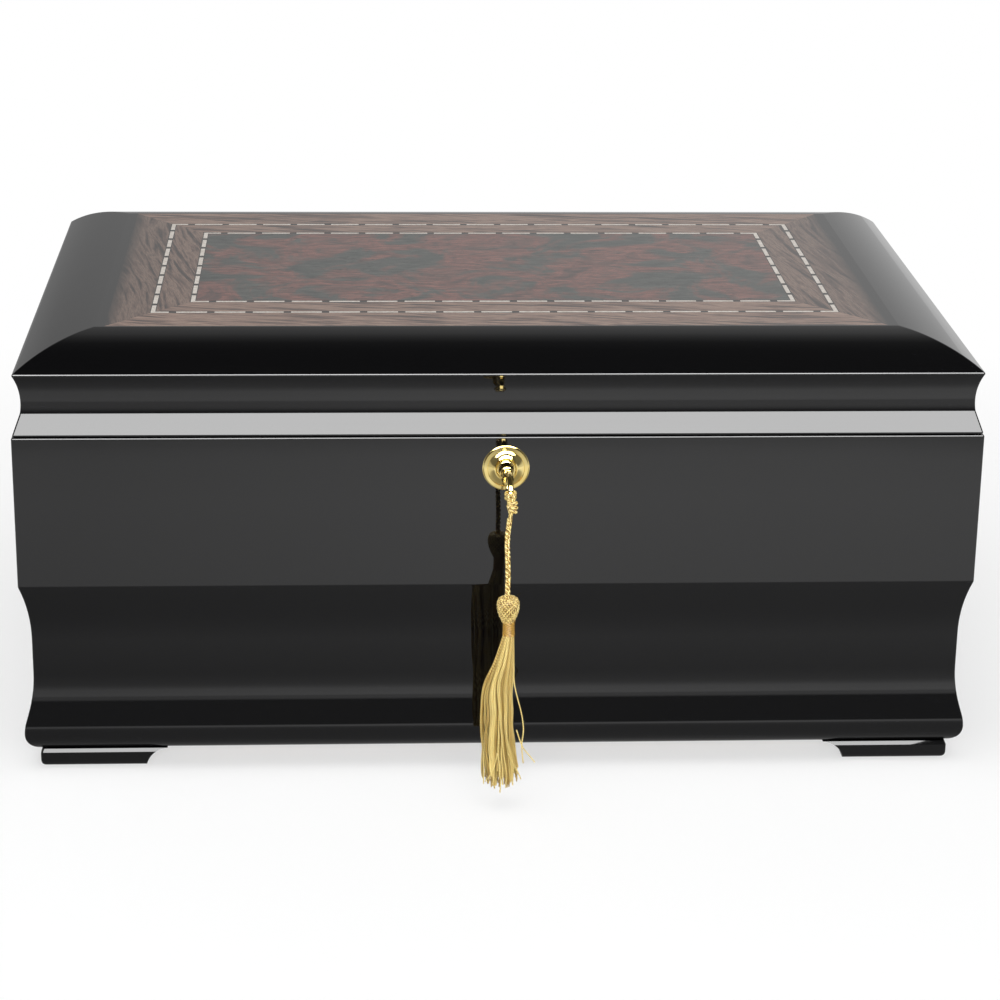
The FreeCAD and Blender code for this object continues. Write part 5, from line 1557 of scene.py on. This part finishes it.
# %% Cedar
def sawn_wood(name, light, middle, dark, turn_at):
    """Bare wood. Grain runs along X, and along Y where |x| is over turn_at."""
    material, tree, shader = new_material(name, Roughness=0.72, Specular_IOR_Level=0.25)
    where = add(tree, "ShaderNodeTexCoord")
    split = add(tree, "ShaderNodeSeparateXYZ", {"Vector": where.outputs["Object"]})
    away = add(tree, "ShaderNodeMath", {0: split.outputs["X"]}, operation="ABSOLUTE")
    turned = add(tree, "ShaderNodeMath", {0: away.outputs["Value"], 1: turn_at}, operation="GREATER_THAN")
    along = add(tree, "ShaderNodeMix", {"Factor": turned.outputs["Value"], 2: split.outputs["X"],
                                        3: split.outputs["Y"]}, data_type="FLOAT")
    across = add(tree, "ShaderNodeMix", {"Factor": turned.outputs["Value"], 2: split.outputs["Y"],
                                         3: split.outputs["X"]}, data_type="FLOAT")
    board = add(tree, "ShaderNodeCombineXYZ", {"X": along.outputs[0], "Y": across.outputs[0],
                                               "Z": split.outputs["Z"]})
    # Growth bands 9 mm apart
    drawn = add(tree, "ShaderNodeMapping", {"Vector": board.outputs["Vector"],
                                            "Scale": (6.0, 110.0, 110.0)})
    bands = add(tree, "ShaderNodeTexNoise", {"Vector": drawn.outputs["Vector"], "Scale": 1.0,
                                             "Detail": 4.0, "Distortion": 0.7})
    colour = add(tree, "ShaderNodeValToRGB", {"Fac": bands.outputs["Fac"]},
                 stops=[(0.32, dark), (0.48, middle), (0.66, light)])
    # Pores 11 mm long and 0.7 mm wide, coarser than real ones so that they show
    fine = add(tree, "ShaderNodeMapping", {"Vector": board.outputs["Vector"],
                                           "Scale": (90.0, 1500.0, 1500.0)})
    pores = add(tree, "ShaderNodeTexNoise", {"Vector": fine.outputs["Vector"], "Scale": 1.0,
                                             "Detail": 2.0})
    pore = add(tree, "ShaderNodeMapRange", {"Value": pores.outputs["Fac"], "From Min": 0.34,
                                            "From Max": 0.5, "To Min": 0.66, "To Max": 1.0})
    toned = add(tree, "ShaderNodeMix", {"Factor": 1.0, MIX_A: colour.outputs["Color"],
                                        MIX_B: pore.outputs["Result"]},
                data_type="RGBA", blend_type="MULTIPLY")
    bump = add(tree, "ShaderNodeBump", {"Height": pore.outputs["Result"], "Strength": 0.4,
                                        "Distance": 0.1 * MM})
    tree.links.new(toned.outputs[MIX_OUT], shader.inputs["Base Color"])
    tree.links.new(bump.outputs["Normal"], shader.inputs["Normal"])
    return material


# Distances from the middle in metres: past every board, before every board, and where the
# strips along the ends of the lid begin
NEVER = 9.0
ALWAYS = -1.0
STRIP_ENDS = 0.198
CEDAR = ("#CB9169", "#BB7E58", "#9C6243")
CEDAR_X = sawn_wood("spanish_cedar_grain_left_to_right", *CEDAR, NEVER)
CEDAR_Y = sawn_wood("spanish_cedar_grain_front_to_back", *CEDAR, ALWAYS)
CEDAR_FRAME = sawn_wood("spanish_cedar_strips", *CEDAR, STRIP_ENDS)
FIBREBOARD = sawn_wood("medium_density_fibreboard", "#B09270", "#A68763", "#96775A", NEVER)
print("materials:", CEDAR_X.name, CEDAR_Y.name, CEDAR_FRAME.name, FIBREBOARD.name)

# %% [markdown]
# Small parts
#
# The humidifier is moulded in black plastic with a fine spark-eroded grain, and holds open
# cell foam. Felt pads are fluffy, so they have almost no sheen. The hygrometer has a printed
# paper dial, a painted needle and a thin glass.

# %% Plastics, felt, paper and glass
def grained(name, dark, light, scale, rough, bump_mm, detail=2.0):
    """Dull material whose colour and height follow one fine noise.

    The grain is 0.4 to 1.4 mm wide, coarser than the real one so that it shows.
    """
    material, tree, shader = new_material(name, Roughness=rough)
    where = add(tree, "ShaderNodeTexCoord")
    grain = add(tree, "ShaderNodeTexNoise", {"Vector": where.outputs["Object"], "Scale": scale,
                                             "Detail": detail})
    tone = add(tree, "ShaderNodeValToRGB", {"Fac": grain.outputs["Fac"]},
               stops=[(0.35, dark), (0.65, light)])
    bump = add(tree, "ShaderNodeBump", {"Height": grain.outputs["Fac"], "Strength": 0.6,
                                        "Distance": bump_mm * MM})
    tree.links.new(tone.outputs["Color"], shader.inputs["Base Color"])
    tree.links.new(bump.outputs["Normal"], shader.inputs["Normal"])
    return material


PLASTIC = grained("black_moulded_plastic", "#151516", "#1F1F21", 1500.0, 0.42, 0.05)
FELT = grained("black_wool_felt", "#0E0E0F", "#2A2A2C", 2600.0, 0.95, 0.4, 4.0)
FOAM = grained("open_cell_foam", "#2C5A46", "#5C9478", 900.0, 0.9, 0.5, 3.0)
DIAL = grained("dial_paper", "#ECE7DA", "#F4F0E6", 700.0, 0.6, 0.01)
INK = grained("printers_ink", "#141414", "#1E1E1E", 900.0, 0.5, 0.01)
NEEDLE = grained("red_painted_needle", "#B3231C", "#C22C22", 800.0, 0.3, 0.005)


def thin_glass():
    """Glass that lets the dial be seen: mostly clear, with the reflection of its surface."""
    material = bpy.data.materials.new("clear_glass")
    material.use_nodes = True
    tree = material.node_tree
    tree.nodes.remove(tree.nodes["Principled BSDF"])
    share = add(tree, "ShaderNodeFresnel", {"IOR": 1.5})
    clear = add(tree, "ShaderNodeBsdfTransparent", {"Color": linear("#F4F8F6")})
    shine = add(tree, "ShaderNodeBsdfAnisotropic", {"Color": linear("#FFFFFF"), "Roughness": 0.01})
    both = add(tree, "ShaderNodeMixShader", {0: share.outputs["Fac"], 1: clear.outputs["BSDF"],
                                             2: shine.outputs["BSDF"]})
    tree.links.new(both.outputs["Shader"], tree.nodes["Material Output"].inputs["Surface"])
    return material


GLASS = thin_glass()
print("materials:", PLASTIC.name, FELT.name, FOAM.name, DIAL.name, INK.name, NEEDLE.name, GLASS.name)

# %% [markdown]
# Each piece that keeps its shape from the model takes the material of its slot. Boards with
# their grain front to back, and the ring of strips in the lid, take the cedar made for them.
# The lid's substrate shows only as a narrow black strip beside the veneers, so it is lacquered.

# %% Give the model's pieces their materials
SLOT_MATERIALS = {
    "black_lacquer": LACQUER, "lid_substrate": LACQUER, "base_board": FIBREBOARD, "spanish_cedar": CEDAR_X,
    "burl_veneer": BURL, "rosewood_veneer": ROSEWOOD, "dashed_string": HOLLY, "polished_brass": BRASS,
    "brass_screws": BRASS_SCREW, "lock_steel": STEEL, "steel_screws": STEEL, "steel_discs": STEEL,
    "black_felt": FELT, "gold_thread": GOLD, "black_plastic": PLASTIC, "humidifier_foam": FOAM,
    "magnet_nickel": NICKEL, "dial_paper": DIAL, "needle_red": NEEDLE, "clear_glass": GLASS,
}
FRONT_TO_BACK = ("liner_left", "liner_right", "tray_end_boards", "tray_divider", "case_divider")
for part in frame["record"]["subparts"]:
    material = SLOT_MATERIALS[part["material_slot"]]
    if part["node"] in FRONT_TO_BACK:
        material = CEDAR_Y
    elif part["node"] == "lid_liner":
        material = CEDAR_FRAME
    piece = frame["nodes"][part["node"]]
    piece.data.materials.clear()
    piece.data.materials.append(material)

# %% [markdown]
# Foam and felt
#
# Foam shows pits where its cells are cut, so its block has a face fine enough to push in.
# A felt pad is a disc stamped from a sheet: its edge is soft and its face a little uneven.

# %% Foam block and felt pads
def pitted(made, cuts, depth, seed):
    """Push points of a piece's faces in by up to depth, most of them only a little."""
    shape = bmesh.new()
    shape.from_mesh(made.data)
    bmesh.ops.subdivide_edges(shape, edges=shape.edges, cuts=cuts, use_grid_fill=True)
    shape.normal_update()
    chance = random.Random(seed)
    for v in shape.verts:
        v.co -= v.normal * depth * chance.random() ** 3
    shape.to_mesh(made.data)
    shape.free()
    return made


foam_low, foam_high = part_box("humidifier_foam")
foam = box_mesh("humidifier_open_cell_foam", foam_low, foam_high)
foam = smooth(pitted(foam, 60, 0.9 * MM, 3), 80)
place(foam, "humidifier", "humidifier_foam", FOAM, "humidifier_foam")

pad_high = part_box("foot_felt_pads")[1]
PAD_R = 11.0 * MM
PAD_SIDES = 64
PAD_FUZZ = 0.15 * MM
# Share of the radius and height in millimetres, from the middle of the lower face upwards
PAD_PROFILE = [(0.3, 0.02), (0.7, 0.0), (0.95, 0.02), (1.0, 0.15), (1.0, 0.65), (0.97, 0.8), (0.3, 0.8)]
pads = []
for sx in (-1, 1):
    for sy in (-1, 1):
        spot = Vector((sx * (pad_high.x - PAD_R), sy * (pad_high.y - PAD_R), 0))
        chance = random.Random(20 + sx * 3 + sy)
        points = []
        for r, z in PAD_PROFILE:
            for k in range(PAD_SIDES):
                a = 2 * math.pi * k / PAD_SIDES
                far = PAD_R * r - PAD_FUZZ * chance.random()
                points.append(spot + Vector((far * math.cos(a), far * math.sin(a), z * MM)))
        pads.append(new_mesh("pad", points, ring_faces(len(PAD_PROFILE), PAD_SIDES)))
pads = joined("foot_pads_of_felt", pads)
place(smooth(pads, 70), "case", "black_felt", FELT, "foot_felt_pads")
print("foam and pads done")

# %% [markdown]
# The dial
#
# The hygrometer's dial is printed with a scale from 0 to 100 percent over three quarters of
# a turn. It faces down from the lid, so it is drawn as seen from below. The ring tree turns
# one short tick into the whole scale, and the numbers are text turned into a mesh.

# %% Hygrometer dial
dial_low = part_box("hygrometer_dial")[0]
DIAL_AT = Vector((105.0 * MM, 0, dial_low.z - 0.03 * MM))
SCALE_ANGLE = math.radians(270)
SCALE_OUTER = 17.2 * MM
NUMBER_R = 12.3 * MM
NUMBER_TALL = 2.9 * MM


def scale_ticks(count, length, width):
    low = (-width / 2, SCALE_OUTER - length, 0)
    tick = box_mesh("tick", low, (width / 2, SCALE_OUTER, 0.02 * MM))
    return grow(tick, RING, "ticks", Count=count, Centre=list(DIAL_AT), First_angle=-SCALE_ANGLE / 2,
                Angle_step=SCALE_ANGLE / (count - 1), Material=INK)


marks = [scale_ticks(51, 1.6 * MM, 0.18 * MM), scale_ticks(11, 2.6 * MM, 0.4 * MM)]
for number in range(0, 101, 10):
    text = bpy.data.curves.new("number", "FONT")
    text.body = str(number)
    text.size = NUMBER_TALL
    text.align_x = "CENTER"
    text.align_y = "CENTER"
    mesh = plain(new_object("number", text), "number_mesh")
    angle = SCALE_ANGLE * (0.5 - number / 100)
    away = Matrix.Rotation(angle, 4, "Z") @ Vector((0, NUMBER_R, 0))
    facing_down = Matrix.Rotation(math.pi, 4, "Y")
    spot = DIAL_AT + Vector((-away.x, away.y, 0))
    mesh.data.transform(Matrix.Translation(spot) @ facing_down)
    marks.append(mesh)
dial_print = joined("hygrometer_dial_print", marks)
place(dial_print, "lid", "dial_paper", INK)
print("dial faces:", len(dial_print.data.polygons))

# %% [markdown]
# The floor
#
# The box stands on a plain white sheet, far larger than the picture so that no edge of it is seen. To the
# camera the sheet fades from lit paper near the box, which keeps the shadow, to plain white. The lacquer
# mirrors the sheet as a glow whose greys are painted on by distance: a painted shadow close to the box, and
# painted light brightest a hand's breadth or two away, with a dimmer glow painted behind.

# %% Floor
floor = new_mesh("white_floor", [(-6, -5, 0), (6, -5, 0), (6, 9, 0), (-6, 9, 0)], [(0, 1, 2, 3)])
WHITE = (1.0, 1.0, 1.0, 1.0)
# How much plain white the camera sees at the box, and the distance where it is all white
WHITE_SHARE = 0.6
WHITE_FROM = 0.45
# Painted shadow and glow of the mirrored sheet by its distance from the box, as a share of SHEET_REACH
SHEET_REACH = 4.0
SHEET_PAINTED_SHADOW_AND_GLOW = [(0.0, 0.26), (0.025, 0.28), (0.045, 0.42), (0.0625, 0.8), (0.1, 0.88), (0.1225, 0.85),
               (0.135, 0.6), (0.25, 0.58), (0.5, 0.3), (1.0, 0.15)]


def distance_from_box(tree, axes):
    """Distance from the nearest edge of the box's plan, and 0 under the box."""
    squares = 0.0
    for axis, half in (("X", HALF_W), ("Y", HALF_D)):
        past = add(tree, "ShaderNodeMath", {0: axes.outputs[axis]}, operation="ABSOLUTE")
        past = add(tree, "ShaderNodeMath", {0: past, 1: half}, operation="SUBTRACT")
        past = add(tree, "ShaderNodeMath", {0: past, 1: 0.0}, operation="MAXIMUM")
        squares = add(tree, "ShaderNodeMath", {0: past, 1: past, 2: squares}, operation="MULTIPLY_ADD")
    return add(tree, "ShaderNodeMath", {0: squares}, operation="SQRT")


def mirrored_tone(tree, axes, away):
    """Painted glow of the sheet in the lacquer, with a painted shadow near the box: by distance in front,
    and by side behind.
    """
    share = add(tree, "ShaderNodeMath", {0: away, 1: SHEET_REACH}, operation="DIVIDE")
    by_distance = add(tree, "ShaderNodeValToRGB", {"Fac": share}, stops=SHEET_PAINTED_SHADOW_AND_GLOW)
    by_side = add(tree, "ShaderNodeMapRange", {"Value": axes.outputs["X"], "From Min": -0.24,
                                               "From Max": 0.0, "To Min": 0.98, "To Max": 1.2})
    front = add(tree, "ShaderNodeMath", {0: by_distance, 1: by_side}, operation="MULTIPLY")
    back = add(tree, "ShaderNodeMapRange", {"Value": axes.outputs["X"], "From Min": -1.0,
                                            "From Max": 1.0, "To Min": 0.4, "To Max": 0.8})
    to_back = add(tree, "ShaderNodeMapRange", {"Value": axes.outputs["Y"], "From Min": HALF_D,
                                               "From Max": HALF_D + 0.6})
    back = add(tree, "ShaderNodeMath", {0: back, 1: to_back}, operation="MULTIPLY")
    to_front = add(tree, "ShaderNodeMath", {0: 1.0, 1: to_back}, operation="SUBTRACT")
    return add(tree, "ShaderNodeMath", {0: front, 1: to_front, 2: back}, operation="MULTIPLY_ADD")


def paper_sheet():
    material, tree, shader = new_material("white_paper_sheet", Roughness=0.9, Specular_IOR_Level=0.1)
    where = add(tree, "ShaderNodeTexCoord")
    axes = add(tree, "ShaderNodeSeparateXYZ", {"Vector": where.outputs["Object"]})
    noise = add(tree, "ShaderNodeTexNoise", {"Vector": where.outputs["Object"], "Scale": 3.0})
    paper = add(tree, "ShaderNodeValToRGB", {"Fac": noise.outputs["Fac"]},
                stops=[(0.3, "#F4F4F4"), (0.7, "#F8F8F8")])
    tree.links.new(paper.outputs["Color"], shader.inputs["Base Color"])
    away = distance_from_box(tree, axes)
    rays = add(tree, "ShaderNodeLightPath")
    share = add(tree, "ShaderNodeMapRange", {"Value": away, "From Min": 0.0, "From Max": WHITE_FROM,
                                             "To Min": WHITE_SHARE, "To Max": 1.0})
    share = add(tree, "ShaderNodeMath", {0: share, 1: rays.outputs["Is Camera Ray"]},
                operation="MULTIPLY")
    white = add(tree, "ShaderNodeEmission", {"Color": WHITE, "Strength": 1.0})
    seen = add(tree, "ShaderNodeMixShader", {0: share, 1: shader.outputs["BSDF"], 2: white})
    # Glossy rays see the sheet as a glow whose strength is painted shadow and painted light
    mirrored = add(tree, "ShaderNodeEmission", {"Color": WHITE,
                                                "Strength": mirrored_tone(tree, axes, away)})
    whole = add(tree, "ShaderNodeMixShader", {0: rays.outputs["Is Glossy Ray"], 1: seen, 2: mirrored})
    tree.links.new(whole.outputs["Shader"], tree.nodes["Material Output"].inputs["Surface"])
    return material


floor.data.materials.append(paper_sheet())
print("floor done")

# %% [markdown]
# The room
#
# Black gloss shows only what it mirrors, so the room is built for the reflections. Behind
# the box it is a soft grey, lighter to the right, and dark above, which leaves a veil on
# the veneers and the sides while the rounded front stays black. A picture of a real room
# would bring its windows and walls into the lacquer.

# %% World
world = bpy.data.worlds.new("studio")
bpy.context.scene.world = world
world.use_nodes = True
sky = world.node_tree
sky.nodes.clear()
FRONT_GLOW = 0.15
BACK_GLOW_LEFT = 0.31
BACK_GLOW_RIGHT = 0.66
ZENITH_GLOW = 0.06
ROOM_FILL = 0.42
# Share of the back glow by the sine of the height above the horizon
BACK_FADE = [(0.34, 1.0), (0.45, 0.62), (0.62, 0.58), (0.72, 0.34), (0.8, 0.16), (0.9, 0.1)]
direction = add(sky, "ShaderNodeTexCoord")
axes = add(sky, "ShaderNodeSeparateXYZ", {"Vector": direction.outputs["Generated"]})
back_across = add(sky, "ShaderNodeMapRange", {"Value": axes.outputs["X"], "From Min": -0.27,
                                              "From Max": 0.31, "To Min": BACK_GLOW_LEFT,
                                              "To Max": BACK_GLOW_RIGHT})
back_up = add(sky, "ShaderNodeValToRGB", {"Fac": axes.outputs["Z"]}, stops=BACK_FADE)
back_rise = add(sky, "ShaderNodeMath", {0: back_across, 1: back_up}, operation="MULTIPLY")
front_rise = add(sky, "ShaderNodeValToRGB", {"Fac": axes.outputs["Z"]},
                 stops=[(0.0, FRONT_GLOW), (0.3, FRONT_GLOW), (0.5, ZENITH_GLOW)])
behind = add(sky, "ShaderNodeMapRange", {"Value": axes.outputs["Y"], "From Min": -0.25,
                                         "From Max": 0.25})
seen = add(sky, "ShaderNodeMix", {"Factor": behind, MIX_A: front_rise.outputs["Color"], MIX_B: back_rise},
           data_type="RGBA")
rays = add(sky, "ShaderNodeLightPath")
mirrored = add(sky, "ShaderNodeMix", {"Factor": rays.outputs["Is Glossy Ray"],
                                      MIX_A: (ROOM_FILL, ROOM_FILL, ROOM_FILL, 1.0),
                                      MIX_B: seen.outputs[MIX_OUT]}, data_type="RGBA")
shown = add(sky, "ShaderNodeMix", {"Factor": rays.outputs["Is Camera Ray"],
                                   MIX_A: mirrored.outputs[MIX_OUT], MIX_B: WHITE}, data_type="RGBA")
glow = add(sky, "ShaderNodeBackground", {"Color": shown.outputs[MIX_OUT], "Strength": 1.0})
add(sky, "ShaderNodeOutputWorld", {"Surface": glow.outputs["Background"]})
print("world done")

# %% [markdown]
# The lamps
#
# A wide strip lamp behind the camera is what the lower, leaning part of the lid mirrors. A
# large overhead panel lights wood and brass evenly, and it is kept out of the reflections.
# A panel high in front is seen in gloss only: it draws the white line along each eased
# edge. Neither lamp in front reaches the lid's top, the sides or the back, where polished
# faces would only glare when they are seen from behind.

# %% Lamps
def panel(name, at, target, size, power, seen_in_gloss=True, lights_surfaces=True):
    """Rectangular lamp at a point, turned towards another."""
    data = bpy.data.lights.new(name, "AREA")
    data.shape = "RECTANGLE"
    data.size = size[0]
    data.size_y = size[1]
    data.energy = power
    lamp = new_object(name, data)
    aim = (Vector(target) - Vector(at)).to_track_quat("-Z", "Y")
    lamp.matrix_world = Matrix.Translation(Vector(at)) @ aim.to_matrix().to_4x4()
    lamp.visible_glossy = seen_in_gloss
    lamp.visible_diffuse = lights_surfaces
    lamp.visible_camera = False
    return lamp


# Words in the names of the pieces that the lamps in front don't reach
NOT_FROM_THE_FRONT = ("string", "border", "rosewood", "burl", "lid_top", "left_rail", "right_rail",
                      "back_rail", "left_wall", "right_wall", "back_wall")
fronts = bpy.data.collections.new("lit_from_the_front")
for piece in bpy.data.objects:
    if piece.type == "MESH" and not any(word in piece.name for word in NOT_FROM_THE_FRONT):
        fronts.objects.link(piece)

# Each lamp: where it is, what it points at, width and height in metres, and watts
strip_lamp = panel("strip_lamp", (-0.03, -1.60, 0.68), (-0.03, -0.15, 0.19), (1.4, 0.32), 15.0)
panel("overhead_panel", (-0.2, -0.6, 2.4), (0, 0, 0.1), (2.2, 1.6), 29.0, seen_in_gloss=False)
edge_panel = panel("edge_panel", (-0.05, -0.99, 1.40), (0, -0.15, 0.15), (1.9, 0.86), 112.0,
                   lights_surfaces=False)
for lamp in (strip_lamp, edge_panel):
    lamp.light_linking.receiver_collection = fronts

# %% [markdown]
# Finish
#
# Colours are shown as they are, with no tone curve.

# %% Finish
bpy.context.scene.view_settings.view_transform = "Standard"
